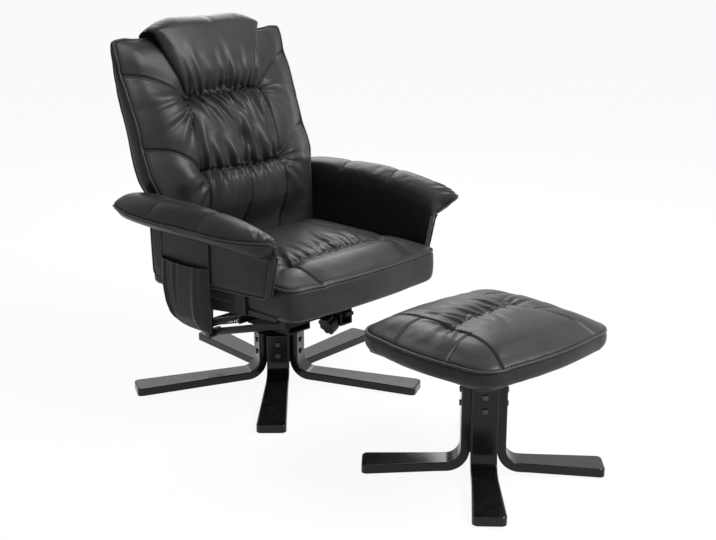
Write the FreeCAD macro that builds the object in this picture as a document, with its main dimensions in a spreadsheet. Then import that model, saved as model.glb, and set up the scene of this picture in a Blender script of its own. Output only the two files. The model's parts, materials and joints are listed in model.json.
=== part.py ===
import FreeCAD
import Part
import math
import os
import re
import Sketcher

# Swivel recliner with a matching footstool.
# Frame: millimetres, +Z up, origin on the floor under the chair's swivel axis.
# The chair faces -Y, so the sitter's right hand is at -X.

CHAIR_LEGS = 5
STOOL_LEGS = 4
BOLTS_PER_LEG = 2
KNOB_FLUTES = 8
WING_FRONT_POWER = 4
WING_REAR_POWER = 8
WING_TIP_SHARE = 0.35
SPRING_TURNS = 11
SAMPLES_PER_TURN = 24
SKETCH_START = 50

# Driving dimensions: alias, value in millimetres or degrees, meaning.
SIZES = [
    ("running_gap", 0.05, "radial clearance of a turning shaft in its bore"),
    ("screw_gap", 0.2, "radial clearance of a screw in its hole"),
    ("seat_gap", 0.3, "gap between a soft part and what it lies on"),
    ("leg_width", 64, "width of a bentwood leg at its hub"),
    ("leg_tip_width", 80, "width of a leg at its tip"),
    ("leg_thickness", 22, "thickness of the bent plywood"),
    ("leg_rise", 10, "how much higher a leg's underside is at the hub"),
    ("bend_radius", 58, "outer radius of a leg's bend"),
    ("tip_radius", 14, "corner radius at a leg's tip"),
    ("leg_edge", 4, "rounding of a leg's upper edges"),
    ("corner_gap", 0.8, "half the gap between neighbouring legs at the hub"),
    ("glide_height", 4, "thickness of a felt glide"),
    ("glide_diameter", 36, "diameter of a felt glide"),
    ("glide_inset", 34, "distance of a glide's centre from the leg's tip"),
    ("bolt_diameter", 8, "leg bolt"),
    ("bolt_head_diameter", 15, "leg bolt head"),
    ("bolt_head_height", 4.5, "leg bolt head"),
    ("bolt_grip", 15, "how deep a leg bolt goes into its hub"),
    ("bolt_drop", 26, "upper bolt below the leg's top"),
    ("bolt_pitch", 35, "distance between a leg's two bolts"),
    ("chair_reach", 420, "swivel axis to the tip of a chair leg"),
    ("chair_leg_top", 148, "top of the chair's leg plates"),
    ("chair_turn", -46.4, "angle of the first chair leg from -Y towards +X"),
    ("hub_bottom", 62, "underside of the chair hub"),
    ("hub_top", 150, "top of the chair hub"),
    ("spindle_diameter", 34, "swivel spindle"),
    ("spindle_tail", 9, "spindle below the hub"),
    ("bush_wall", 4, "wall of the swivel bush and thickness of its flange"),
    ("bush_flange_diameter", 58, "flange of the swivel bush"),
    ("washer_height", 3, "thrust washer"),
    ("circlip_height", 2.5, "retaining ring on the spindle"),
    ("circlip_width", 5, "radial width of the retaining ring"),
    ("steel", 4, "thickness of the pressed steel plates"),
    ("housing_half_width", 44, "outer half width of the mechanism housing"),
    ("housing_half_length", 85, "half length of the mechanism housing"),
    ("seat_base", 305, "underside of the seat board"),
    ("plate_half_width", 84, "half width of the seat plate"),
    ("plate_front", 292, "seat plate in front of the swivel axis"),
    ("plate_back", 96, "seat plate behind the swivel axis"),
    ("board", 12, "plywood of the seat board, back board and stool board"),
    ("seat_board_half_width", 270, "half width of the seat board"),
    ("seat_board_front", 340, "seat board in front of the swivel axis"),
    ("seat_board_back", 134, "seat board behind the swivel axis"),
    ("seat_board_corner", 40, "corner radius of the seat board"),
    ("seat_half_width", 285, "half width of the seat cushion at its welt"),
    ("seat_front", 362, "seat cushion's front corners from the swivel axis"),
    ("seat_bow", 16, "how far the seat's front bows out in the middle"),
    ("seat_back", 138, "rear end of the seat cushion"),
    ("seat_welt", 396, "height of the seat's welt"),
    ("seat_crown", 34, "crown of the seat above its welt"),
    ("seat_draw", 5, "how far the seat's sides draw in between welt and base"),
    ("screw_diameter", 6, "wood screw"),
    ("screw_head_diameter", 12, "wood screw head"),
    ("screw_head_height", 3, "wood screw head"),
    ("flat_head_height", 0.9, "flat head of an arm bolt"),
    ("screw_bite", 9, "depth of a wood screw in its board"),
    ("pivot_back", 175, "recline axle behind the swivel axis"),
    ("pivot_height", 285, "height of the recline axle"),
    ("axle_diameter", 14, "recline axle"),
    ("ear_radius", 15, "ear of a hinge bracket round the axle"),
    ("ear_thickness", 6, "hinge brackets and crank plates"),
    ("hinge_offset", 118, "inner face of a hinge bracket from the middle"),
    ("hinge_length", 100, "length of a hinge bracket along the seat board"),
    ("hinge_flange", 34, "width of a hinge bracket's flange"),
    ("axle_nut_width", 24, "diameter of the axle's round nuts"),
    ("axle_nut_height", 9, "thickness of the axle's nuts"),
    ("crank_offset", 108, "inner face of a crank plate from the middle"),
    ("crank_back", 6, "crank pin behind the recline axle"),
    ("crank_drop", 168, "crank pin below the recline axle"),
    ("crank_half_width", 15, "half width of a crank plate"),
    ("crank_flange", 40, "width of a crank plate's top flange"),
    ("crank_bolt_diameter", 10, "bolt at the crank pin"),
    ("yoke_offset", 88, "middle of a yoke tube from the middle plane"),
    ("yoke_tube", 22, "diameter of a yoke tube"),
    ("yoke_eye", 28, "diameter of the eye at a yoke's rear end"),
    ("yoke_eye_length", 34, "length of that eye along the crank bolt"),
    ("yoke_length", 318, "crank pin to the yoke's bridge"),
    ("yoke_slope", 16.8, "angle of the yoke above level, towards the front"),
    ("bridge_size", 22, "square bridge between the yoke tubes"),
    ("tongue_length", 170, "lock tongue in front of the bridge"),
    ("tongue_width", 26, "width of the lock tongue"),
    ("tongue_thickness", 10, "thickness of the lock tongue"),
    ("lock_front", 250, "lock bracket's screw in front of the swivel axis"),
    ("lock_length", 44, "length of the lock bracket"),
    ("lock_play", 5, "side clearance of the tongue in the lock bracket"),
    ("lock_height", 228, "underside of the lock bracket's cheeks"),
    ("knob_tilt", 25, "how far the knob's screw points below level"),
    ("knob_screw_diameter", 10, "lock screw"),
    ("knob_boss_diameter", 20, "threaded boss on the lock bracket"),
    ("knob_boss_length", 14, "threaded boss on the lock bracket"),
    ("knob_diameter", 54, "lock knob"),
    ("knob_height", 24, "lock knob"),
    ("knob_travel", 3, "gap between the knob and its boss"),
    ("knob_lobes_depth", 4, "depth of the knob's finger flutes"),
    ("knob_edge", 1.5, "rounding of the knob's outer rim"),
    ("spring_diameter", 22, "outer diameter of a recline spring"),
    ("spring_wire", 3.2, "wire of a recline spring"),
    ("spring_length", 124, "length of a recline spring at rest"),
    ("spring_lift", 30, "spring axis above the yoke tube's axis"),
    ("spring_start", 8, "spring's rear end in front of the crank pin"),
    ("spring_cup", 26, "height of the crossbar and width of the plates that a spring bears on"),
    ("rail_depth", 30, "back rail, front to back"),
    ("rail_height", 38, "back rail"),
    ("rail_half_width", 286, "half width of the back rail and back board"),
    ("rail_gap", 7, "underside of the back rail above the seat board's underside"),
    ("back_bend", 560, "height at which the backrest bends"),
    ("back_lean", 20.5, "lean of the upper backrest from upright"),
    ("back_rise", 446, "length of the upper backrest along its lean"),
    ("back_half_width", 289, "half width of the backrest at its welt"),
    ("back_flare", 20, "how much wider each side of the backrest is above the arms"),
    ("flare_start", 0, "start of that widening above the bend, along the lean"),
    ("flare_end", 50, "end of that widening above the bend, along the lean"),
    ("back_front", 150, "front welt of the lower backrest"),
    ("board_line", 176, "front face of the back board"),
    ("cover_depth", 15, "padded rear cover behind the back board"),
    ("edge_crown", 6, "least crown of a padded face"),
    ("back_crown", 46, "crown of the back cushion"),
    ("back_draw", 3, "how far the back cushion's sides draw in"),
    ("back_seam_depth", 16, "depth of the back cushion's two sewn channels"),
    ("back_seam_half", 16, "half width of a sewn channel"),
    ("lower_seam", 56, "lower channel above the bend, along the lean"),
    ("upper_seam", 262, "upper channel above the bend, along the lean"),
    ("pillow_half_low", 142, "half width of the head pillow at its seam"),
    ("pillow_half_high", 200, "half width of the head pillow at its top"),
    ("pillow_depth", 46, "thickness of the head pillow"),
    ("pillow_over", 44, "head pillow above the back cushion's top"),
    ("arm_inner", 294, "inner face of an arm panel"),
    ("arm_board", 28, "thickness of an arm panel"),
    ("arm_front_low", 297, "front edge of an arm panel at its foot"),
    ("arm_front_high", 322, "front edge of an arm panel under the wing"),
    ("arm_back", 156, "rear edge of an arm panel"),
    ("arm_foot_front", 372, "underside of an arm panel at the front"),
    ("arm_foot_back", 342, "underside of an arm panel at the back"),
    ("arm_head_front", 476, "top of an arm panel at the front"),
    ("arm_head_back", 500, "top of an arm panel at the back"),
    ("arm_corner", 18, "corner radius of an arm panel's foot"),
    ("wing_outer", 400, "outer edge of an arm wing"),
    ("wing_front", 364, "front end of an arm wing"),
    ("wing_back", 226, "rear end of an arm wing"),
    ("wing_edge_front", 527, "height of the wing's outer edge at the front"),
    ("wing_edge_back", 548, "height of the wing's outer edge at the back"),
    ("wing_crest", 38, "crest of a wing above its outer edge"),
    ("wing_lip", 8, "thickness of a wing at its two ends"),
    ("arm_bracket_width", 40, "width of an arm bracket"),
    ("arm_bracket_reach", 90, "arm bracket under the seat board"),
    ("arm_bracket_drop", 4, "top of an arm bracket below the seat's welt"),
    ("arm_bracket_front", 170, "front arm bracket in front of the swivel axis"),
    ("arm_bracket_back", 30, "rear arm bracket behind the swivel axis"),
    ("pocket_front", 88, "front edge of the side pocket before the swivel axis"),
    ("pocket_back", 108, "rear edge of the side pocket"),
    ("pocket_mouth", 426, "height of the pocket's mouth"),
    ("pocket_foot", 240, "foot of the pocket at its front edge"),
    ("pocket_shoulder", 335, "height where the pocket's rear edge turns in"),
    ("pocket_head", 470, "top of the pocket's back wall"),
    ("pocket_keel", 58, "deepest point of the pocket behind its front edge"),
    ("pocket_sag", 5, "how much lower the pocket hangs there"),
    ("pocket_curve", 53, "start of the pocket's rear curve before its rear edge"),
    ("pocket_curve_rise", 18, "height of that start above the pocket's foot"),
    ("pocket_tuck", 8, "how far the rear edge turns in at its shoulder"),
    ("pocket_lap", 10, "lap of the back wall below the mouth"),
    ("pocket_depth", 34, "depth of the pocket"),
    ("pocket_wall", 3, "wall of the pocket"),
    ("stool_x", -97, "footstool's axis"),
    ("stool_y", -821, "footstool's axis"),
    ("stool_turn", -49, "angle of the first stool leg from -Y towards +X"),
    ("stool_yaw", -4, "turn of the stool cushion"),
    ("stool_reach", 294, "stool axis to the tip of a stool leg"),
    ("stool_leg_top", 239, "top of the stool's leg plates"),
    ("stool_hub_bottom", 62, "underside of the stool's post"),
    ("stool_hub_top", 312, "top of the stool's post"),
    ("stool_plate_side", 200, "side of the stool's top plate"),
    ("stool_plate_screw", 80, "stool plate screws from the middle"),
    ("stool_half_width", 247, "half width of the stool cushion"),
    ("stool_half_depth", 220, "half depth of the stool cushion"),
    ("stool_bow", 14, "how far the stool's sides bow out"),
    ("stool_board_inset", 30, "stool board inside the cushion's edge"),
    ("stool_welt", 365, "height of the stool's welt"),
    ("stool_crown", 44, "crown of the stool cushion above its welt"),
    ("stool_draw", 5, "how far the stool's sides draw in"),
    ("stool_seam_depth", 12, "depth of the sewn line across the stool"),
]

doc = FreeCAD.newDocument("recliner")
sheet = doc.addObject("Spreadsheet::Sheet", "sizes")
for row, (alias, amount, meaning) in enumerate(SIZES, start=1):
    sheet.set(f"A{row}", alias)
    sheet.set(f"B{row}", str(amount))
    sheet.set(f"C{row}", meaning)
    sheet.setAlias(f"B{row}", alias)
doc.recompute()

ALIASES = {alias for alias, amount, meaning in SIZES}
SUB_PARTS = []
XY, YZ, XZ = "XY_Plane", "YZ_Plane", "XZ_Plane"
X_AXIS, Y_AXIS, Z_AXIS = FreeCAD.Vector(1, 0, 0), FreeCAD.Vector(0, 1, 0), FreeCAD.Vector(0, 0, 1)


def size(alias):
    """The number in a sheet cell."""
    return float(sheet.get(alias))


def formula(text):
    """An expression in which each alias names its sheet cell."""
    return re.sub(r"[a-z_]+", lambda word: "sizes." + word[0] if word[0] in ALIASES else word[0], str(text))


def bind(thing, **expressions):
    """Bind properties to expressions; a double underscore stands for a dot."""
    for name, text in expressions.items():
        thing.setExpression(name.replace("__", "."), formula(text))


def keep(thing, label):
    """List an object as a sub-part under its own label."""
    thing.Label = label
    SUB_PARTS.append(thing)
    return thing


# Heights and places that several pieces share, as formulas of the driving dimensions.
CHAIR_APOTHEM = f"((leg_width / 2 + corner_gap) / tan(180 / {CHAIR_LEGS}))"
STOOL_APOTHEM = f"((leg_width / 2 + corner_gap) / tan(180 / {STOOL_LEGS}))"
BUSH_RADIUS = "(spindle_diameter / 2 + running_gap + bush_wall)"
HOUSING_FLOOR = "(hub_top + bush_wall + washer_height)"
PLATE_UNDER = "(seat_base - steel)"
BOARD_TOP = "(seat_base + board)"
CRANK_Y = "(pivot_back + crank_back)"
CRANK_Z = "(pivot_height - crank_drop)"
RAIL_UNDER = "(seat_base + rail_gap)"
RAIL_TOP = "(seat_base + rail_gap + rail_height)"
RAIL_BACK = "(board_line + board)"
RAIL_FRONT = f"({RAIL_BACK} - rail_depth)"
CRANK_OUTER = "(crank_offset + ear_thickness)"
ARM_OUTER = "(arm_inner + arm_board)"
YOKE_Z = f"({CRANK_Z} + ({CRANK_Y} + lock_front) * tan(yoke_slope))"
LOCK_HALF = "(tongue_width / 2 + lock_play)"
ARM_BRACKET_TOP = "(seat_welt - arm_bracket_drop)"
ARM_BRACKETS = ("-1 * arm_bracket_front", "arm_bracket_back")


# Sketches and solids
def sketch(body, plane, offset):
    """An empty sketch on one of a body's origin planes, moved along its normal."""
    drawing = body.newObject("Sketcher::SketchObject", body.Name + "_sketch")
    origin = [feature for feature in body.Origin.OriginFeatures if feature.Role == plane]
    drawing.AttachmentSupport = [(origin[0], "")]
    drawing.MapMode = "FlatFace"
    bind(drawing, AttachmentOffset__Base__z=offset)
    return drawing


def draw_polygon(drawing, points):
    """A closed outline whose corners are each bound to two formulas."""
    first = drawing.GeometryCount
    count = len(points)
    turn = 2 * math.pi / count
    start = [FreeCAD.Vector(math.cos(turn * k), math.sin(turn * k), 0) * SKETCH_START for k in range(count)]
    for k in range(count):
        drawing.addGeometry(Part.LineSegment(start[k], start[(k + 1) % count]))
    for k in range(count):
        drawing.addConstraint(Sketcher.Constraint("Coincident", first + k, 2, first + (k + 1) % count, 1))
    for k, corner in enumerate(points):
        for kind, text, value in zip(("DistanceX", "DistanceY"), corner, start[k]):
            index = drawing.addConstraint(Sketcher.Constraint(kind, -1, 1, first + k, 1, value))
            drawing.setExpression(f"Constraints[{index}]", formula(text))


def draw_circle(drawing, centre, diameter):
    """A circle whose centre and diameter are bound to formulas."""
    ring = drawing.addGeometry(Part.Circle(FreeCAD.Vector(1, 1, 0), Z_AXIS, 5))
    for kind, text in zip(("DistanceX", "DistanceY"), centre):
        index = drawing.addConstraint(Sketcher.Constraint(kind, -1, 1, ring, 3, 1.0))
        drawing.setExpression(f"Constraints[{index}]", formula(text))
    index = drawing.addConstraint(Sketcher.Constraint("Diameter", ring, 10.0))
    drawing.setExpression(f"Constraints[{index}]", formula(diameter))


def pad(body, plane, offset, points, length, both_ways=False):
    """A prism on an outline; the first of a body or one more that joins it."""
    drawing = sketch(body, plane, offset)
    draw_polygon(drawing, points)
    solid = body.newObject("PartDesign::Pad", body.Name + "_pad")
    solid.Profile = drawing
    solid.Midplane = both_ways
    bind(solid, Length=length)
    return solid


def cut_through(body, plane, outlines=(), circles=()):
    """Cut outlines and round holes right through a body."""
    drawing = sketch(body, plane, "0")
    for points in outlines:
        draw_polygon(drawing, points)
    for centre, diameter in circles:
        draw_circle(drawing, centre, diameter)
    pocket = body.newObject("PartDesign::Pocket", body.Name + "_cut")
    pocket.Profile = drawing
    pocket.Type = "ThroughAll"
    pocket.Midplane = True
    return pocket


def pilot_holes(body, plane, offset, spots, depth, towards_normal=True):
    """Blind holes for wood screws, from a plane into the body."""
    drawing = sketch(body, plane, offset)
    for spot in spots:
        draw_circle(drawing, spot, "screw_diameter + 2 * running_gap")
    drill = body.newObject("PartDesign::Pocket", body.Name + "_pilots")
    drill.Profile = drawing
    drill.Reversed = towards_normal
    bind(drill, Length=depth)


def round_edges(body, radius, wanted):
    """Fillet the edges of a body that a test picks."""
    doc.recompute()
    base = body.Tip
    names = [f"Edge{k}" for k, edge in enumerate(base.Shape.Edges, start=1) if wanted(edge)]
    rounding = body.newObject("PartDesign::Fillet", body.Name + "_round")
    rounding.Base = (base, names)
    bind(rounding, Radius=radius)
    return rounding


def new_body(label):
    return keep(doc.addObject("PartDesign::Body", label), label)


def along(edge, axis):
    """Whether a straight edge runs along an axis."""
    ends = [vertex.Point for vertex in edge.Vertexes]
    if len(ends) < 2 or edge.Curve.TypeId != "Part::GeomLine":
        return False
    return abs((ends[1] - ends[0]).normalize().dot(axis)) > 0.999


def rectangle(x_low, y_low, x_high, y_high):
    return [(x_low, y_low), (x_high, y_low), (x_high, y_high), (x_low, y_high)]


def shape_node(label, shape):
    """A sub-part whose shape is worked out in code."""
    thing = doc.addObject("Part::Feature", label)
    thing.Shape = shape
    return keep(thing, label)


def screw(point, direction, diameter, length, head_diameter, head_height):
    """A screw whose head sits at point and whose shank runs along direction."""
    shank = Part.makeCylinder(diameter / 2, length, point, direction)
    head = Part.makeCylinder(head_diameter / 2, head_height, point - direction * head_height, direction)
    rim = [edge for edge in head.Edges if (edge.CenterOfMass - point).Length > head_height * 0.9]
    rim = [edge for edge in rim if edge.Curve.TypeId == "Part::GeomCircle"]
    head = head.makeFillet(head_height * 0.45, rim)
    return head.fuse(shank).removeSplitter()


def value_of(text):
    """The number that a formula gives, read through a sheet-bound property."""
    probe = doc.getObject("probe") or doc.addObject("App::FeaturePython", "probe")
    if not hasattr(probe, "Amount"):
        probe.addProperty("App::PropertyFloat", "Amount")
    bind(probe, Amount=text)
    probe.recompute()
    return probe.Amount


# Bases: hub, bentwood legs, leg bolts and felt glides, for the chair and the stool
def leg(label, apothem, reach, top, place):
    """One L-shaped leg, drawn with its tip towards +Y and turned into place."""
    body = new_body(label)
    outer = f"({apothem} + leg_thickness)"
    slope = f"(leg_rise / ({reach} - {apothem}))"
    shoulder = f"(glide_height + leg_rise + leg_thickness - leg_thickness * {slope})"
    pad(body, YZ, "0", [
        (apothem, top), (outer, top), (outer, shoulder),
        (reach, "glide_height + leg_thickness"), (reach, "glide_height"),
        (apothem, "glide_height + leg_rise"),
    ], "leg_tip_width", both_ways=True)
    cut_through(body, XY, outlines=[
        [(f"{side} * leg_width / 2", f"{outer} + bend_radius"), (f"{side} * leg_width / 2", "0"),
         (f"{side} * leg_tip_width", "0"), (f"{side} * leg_tip_width", reach),
         (f"{side} * leg_tip_width / 2", reach)] for side in (-1, 1)])
    inner_y = value_of(apothem)
    outer_y = value_of(outer)
    knee = value_of(top) * 0.5
    round_edges(body, "bend_radius", lambda edge: along(edge, X_AXIS)
                and abs(edge.CenterOfMass.y - inner_y) < 0.1 and edge.CenterOfMass.z < knee)
    round_edges(body, "bend_radius - leg_thickness", lambda edge: along(edge, X_AXIS)
                and abs(edge.CenterOfMass.y - outer_y) < 0.1 and edge.CenterOfMass.z < knee)
    tip_y = value_of(reach)
    round_edges(body, "tip_radius", lambda edge: along(edge, Z_AXIS)
                and abs(edge.CenterOfMass.y - tip_y) < 0.1)
    tip_top = value_of("glide_height + leg_thickness")
    round_edges(body, "leg_edge", lambda edge: edge.CenterOfMass.y > tip_y - size("tip_radius")
                and abs(edge.CenterOfMass.z - tip_top) < 1)
    holes = [(("0", f"{top} - bolt_drop - {k} * bolt_pitch"), "bolt_diameter + 2 * screw_gap")
             for k in range(BOLTS_PER_LEG)]
    cut_through(body, XZ, circles=holes)
    place(body)


def standing(x, y, turn):
    """A function that stands a body on its base's axis, turned about Z."""
    def place(body):
        bind(body, Placement__Base__x=x, Placement__Base__y=y, Placement__Rotation__Angle=turn)
    return place


def base(name, count, apothem, reach, top, turn, x, y):
    """Legs, leg bolts and glides round one axis."""
    axis = FreeCAD.Vector(value_of(x), value_of(y), 0)
    bolts, glides = [], []
    for k in range(count):
        angle = f"({turn} + {k} * 360 / {count})"
        leg(f"{name}_leg_{k + 1}", apothem, reach, top, standing(x, y, f"{angle} + 180"))
        out = math.radians(value_of(angle))
        outward = FreeCAD.Vector(math.sin(out), -math.cos(out), 0)
        head = axis + outward * value_of(f"{apothem} + leg_thickness")
        for j in range(BOLTS_PER_LEG):
            height = value_of(f"{top} - bolt_drop - {j} * bolt_pitch")
            bolts.append(screw(head + Z_AXIS * height, outward * -1, size("bolt_diameter"),
                               value_of("leg_thickness + bolt_grip"),
                               size("bolt_head_diameter"), size("bolt_head_height")))
        doc.recompute()
        foot = axis + outward * value_of(f"{reach} - glide_inset")
        rise = value_of(f"leg_rise / ({reach} - {apothem})") * size("glide_inset")
        pad_shape = Part.makeCylinder(size("glide_diameter") / 2, size("glide_height") + rise * 2, foot)
        glides.append(pad_shape.cut(doc.getObject(f"{name}_leg_{k + 1}").Shape))
    shape_node(f"{name}_leg_bolts", Part.makeCompound(bolts))
    shape_node(f"{name}_foot_glides", Part.makeCompound(glides))


def hub(label, count, apothem, low, high, turn, x, y, bore, bolt_top):
    """A prism with one flat per leg, drilled for the leg bolts and the spindle."""
    body = new_body(label)
    corner = f"({apothem} / cos(180 / {count}))"
    corners = [(f"{corner} * cos(90 + {(2 * k + 1) * 180 / count})",
                f"{corner} * sin(90 + {(2 * k + 1) * 180 / count})") for k in range(count)]
    pad(body, XY, low, corners, f"{high} - {low}")
    if bore:
        cut_through(body, XY, circles=[(("0", "0"), f"2 * {bore}")])
    drawing = sketch(body, XZ, f"-1 * {apothem}")
    for k in range(BOLTS_PER_LEG):
        height = f"{bolt_top} - bolt_drop - {k} * bolt_pitch"
        draw_circle(drawing, ("0", height), "bolt_diameter + 2 * screw_gap")
    drill = body.newObject("PartDesign::Pocket", label + "_drill")
    drill.Profile = drawing
    drill.Reversed = True
    bind(drill, Length="bolt_grip + 2")
    ring = body.newObject("PartDesign::PolarPattern", label + "_pattern")
    ring.Originals = [drill]
    upright = [feature for feature in body.Origin.OriginFeatures if feature.Role == "Z_Axis"]
    ring.Axis = (upright[0], [""])
    ring.Angle = 360
    ring.Occurrences = count
    body.Tip = ring
    doc.recompute()
    standing(x, y, f"{turn} + 180")(body)


def bases():
    hub("chair_hub", CHAIR_LEGS, CHAIR_APOTHEM, "hub_bottom", "hub_top", "chair_turn",
        "0", "0", BUSH_RADIUS, "chair_leg_top")
    base("chair", CHAIR_LEGS, CHAIR_APOTHEM, "chair_reach", "chair_leg_top", "chair_turn", "0", "0")
    hub("stool_post", STOOL_LEGS, STOOL_APOTHEM, "stool_hub_bottom", "stool_hub_top", "stool_turn",
        "stool_x", "stool_y", None, "stool_leg_top")
    base("stool", STOOL_LEGS, STOOL_APOTHEM, "stool_reach", "stool_leg_top", "stool_turn",
         "stool_x", "stool_y")


# Swivel: bush in the hub, spindle, thrust washer and retaining ring
def tube(label, outer, inner, low, high):
    """A ring about the swivel axis."""
    solid = doc.addObject("Part::Cylinder", label + "_outer")
    bind(solid, Radius=outer, Height=f"{high} - {low}", Placement__Base__z=low)
    hole = doc.addObject("Part::Cylinder", label + "_bore")
    bind(hole, Radius=inner, Height=f"{high} - {low}", Placement__Base__z=low)
    ring = doc.addObject("Part::Cut", label + "_ring")
    ring.Base = solid
    ring.Tool = hole
    return ring


def swivel():
    bore = "(spindle_diameter / 2 + running_gap)"
    sleeve = tube("bush_sleeve", BUSH_RADIUS, bore, "hub_bottom", "hub_top")
    flange = tube("bush_flange", "bush_flange_diameter / 2", bore, "hub_top", "(hub_top + bush_wall)")
    bush = doc.addObject("Part::Fuse", "swivel_bush")
    bush.Base = sleeve
    bush.Tool = flange
    keep(bush, "swivel_bush")
    keep(tube("washer", "bush_flange_diameter / 2", "spindle_diameter / 2", "(hub_top + bush_wall)",
              HOUSING_FLOOR), "thrust_washer")
    spindle = doc.addObject("Part::Cylinder", "swivel_spindle")
    bind(spindle, Radius="spindle_diameter / 2",
         Height=f"{HOUSING_FLOOR} + steel - hub_bottom + spindle_tail",
         Placement__Base__z="hub_bottom - spindle_tail")
    keep(spindle, "swivel_spindle")
    keep(tube("circlip", "(spindle_diameter / 2 + circlip_width)", "spindle_diameter / 2",
              "(hub_bottom - seat_gap - circlip_height)", "(hub_bottom - seat_gap)"), "spindle_circlip")


# Mechanism under the seat
def housing():
    """Steel channel on the spindle, with a plate each side that a recline spring bears on."""
    body = new_body("mechanism_housing")
    wide, thin = "housing_half_width", "(housing_half_width - steel)"
    pad(body, XZ, "0", [
        (f"-1 * {wide}", HOUSING_FLOOR), (wide, HOUSING_FLOOR), (wide, PLATE_UNDER), (thin, PLATE_UNDER),
        (thin, f"{HOUSING_FLOOR} + steel"), (f"-1 * {thin}", f"{HOUSING_FLOOR} + steel"),
        (f"-1 * {thin}", PLATE_UNDER), (f"-1 * {wide}", PLATE_UNDER),
    ], "2 * housing_half_length", both_ways=True)
    front_y, middle_z = spring_place("spring_start + spring_length")
    for side in (-1, 1):
        near, far = f"{side} * {thin}", f"{side} * (yoke_offset + spring_cup / 2)"
        low, high = f"{middle_z} - spring_diameter / 2", f"{middle_z} + spring_cup / 2"
        pad(body, XZ, f"-1 * {front_y} + spring_diameter * sin(yoke_slope) / 2 + seat_gap",
            rectangle(near, low, far, high), "steel")
    cut_through(body, XY, circles=[(("0", "0"), "spindle_diameter")])


def seat_plate():
    body = new_body("seat_plate")
    outline = rectangle("-1 * plate_half_width", "-1 * plate_front", "plate_half_width", "plate_back")
    pad(body, XY, PLATE_UNDER, outline, "steel")
    round_edges(body, "3 * steel", lambda edge: along(edge, Z_AXIS))
    cut_through(body, XY, circles=[(spot, "screw_diameter + 2 * screw_gap") for spot in seat_screw_spots()])


def seat_screw_spots():
    inset = "(plate_half_width - 3 * steel)"
    ends = ("-1 * (plate_front - 5 * steel)", "plate_back - 5 * steel")
    return [(f"{side} * {inset}", end) for side in (-1, 1) for end in ends]


def wood_screws(label, spots, grip):
    """Screws driven straight up, each given as head x, y and z."""
    screws = [screw(FreeCAD.Vector(*[value_of(text) for text in spot]), Z_AXIS, size("screw_diameter"),
                    value_of(grip), size("screw_head_diameter"), size("screw_head_height"))
              for spot in spots]
    shape_node(label, Part.makeCompound(screws))


def hinge_bracket(label, side):
    """Plate under the seat board's rear whose ear carries the recline axle."""
    body = new_body(label)
    start = f"({side} * hinge_offset + {min(side, 0)} * ear_thickness)"
    front = "(seat_board_back - hinge_length)"
    pad(body, YZ, start, [
        (front, "seat_base"), ("seat_board_back", "seat_base"),
        ("pivot_back", "pivot_height + ear_radius"),
        ("pivot_back + ear_radius", "pivot_height + ear_radius"),
        ("pivot_back + ear_radius", "pivot_height - ear_radius"),
        ("pivot_back - ear_radius", "pivot_height - ear_radius"),
        (front, "seat_base - ear_radius"),
    ], "ear_thickness")
    pad(body, XY, PLATE_UNDER, rectangle(
        f"{side} * (hinge_offset + ear_thickness / 2)", front,
        f"{side} * (hinge_offset + hinge_flange)", "seat_board_back"), "steel")
    round_edges(body, "ear_radius * 0.8", lambda edge: along(edge, X_AXIS)
                and edge.CenterOfMass.y > size("pivot_back") + size("ear_radius") * 0.9)
    cut_through(body, YZ, circles=[(("pivot_back", "pivot_height"), "axle_diameter")])
    cut_through(body, XY, circles=[((x, y), "screw_diameter + 2 * screw_gap")
                                   for x, y, z in hinge_screw_spots() if value_of(x) * side > 0])


def hinge_screw_spots():
    middle = "(hinge_offset + ear_thickness + (hinge_flange - ear_thickness) / 2)"
    return [(f"{side} * {middle}", f"seat_board_back - hinge_length * {share}", PLATE_UNDER)
            for side in (-1, 1) for share in (0.25, 0.75)]


def across(label, radius, half_length, y, z):
    """A round bar along X, centred on the middle plane."""
    bar = doc.addObject("Part::Cylinder", label)
    bar.Placement.Rotation = FreeCAD.Rotation(Y_AXIS, 90)
    bind(bar, Radius=radius, Height=f"2 * {half_length}", Placement__Base__x=f"-1 * {half_length}",
         Placement__Base__y=y, Placement__Base__z=z)
    return bar


def recline_hinge():
    hinge_bracket("right_hinge_bracket", -1)
    hinge_bracket("left_hinge_bracket", 1)
    outer = "(hinge_offset + ear_thickness)"
    end = f"({outer} + axle_nut_height + 2)"
    keep(across("recline_axle", "axle_diameter / 2", end, "pivot_back", "pivot_height"), "recline_axle")
    nuts = []
    for side in (-1, 1):
        face = FreeCAD.Vector(side * value_of(outer), size("pivot_back"), size("pivot_height"))
        height = size("axle_nut_height")
        ring = Part.makeCylinder(size("axle_nut_width") / 2, height, face, X_AXIS * side)
        nuts.append(ring.cut(Part.makeCylinder(size("axle_diameter") / 2, height, face, X_AXIS * side)))
    shape_node("axle_nuts", Part.makeCompound(nuts))
    wood_screws("hinge_screws", hinge_screw_spots(), "steel + screw_bite")


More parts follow.
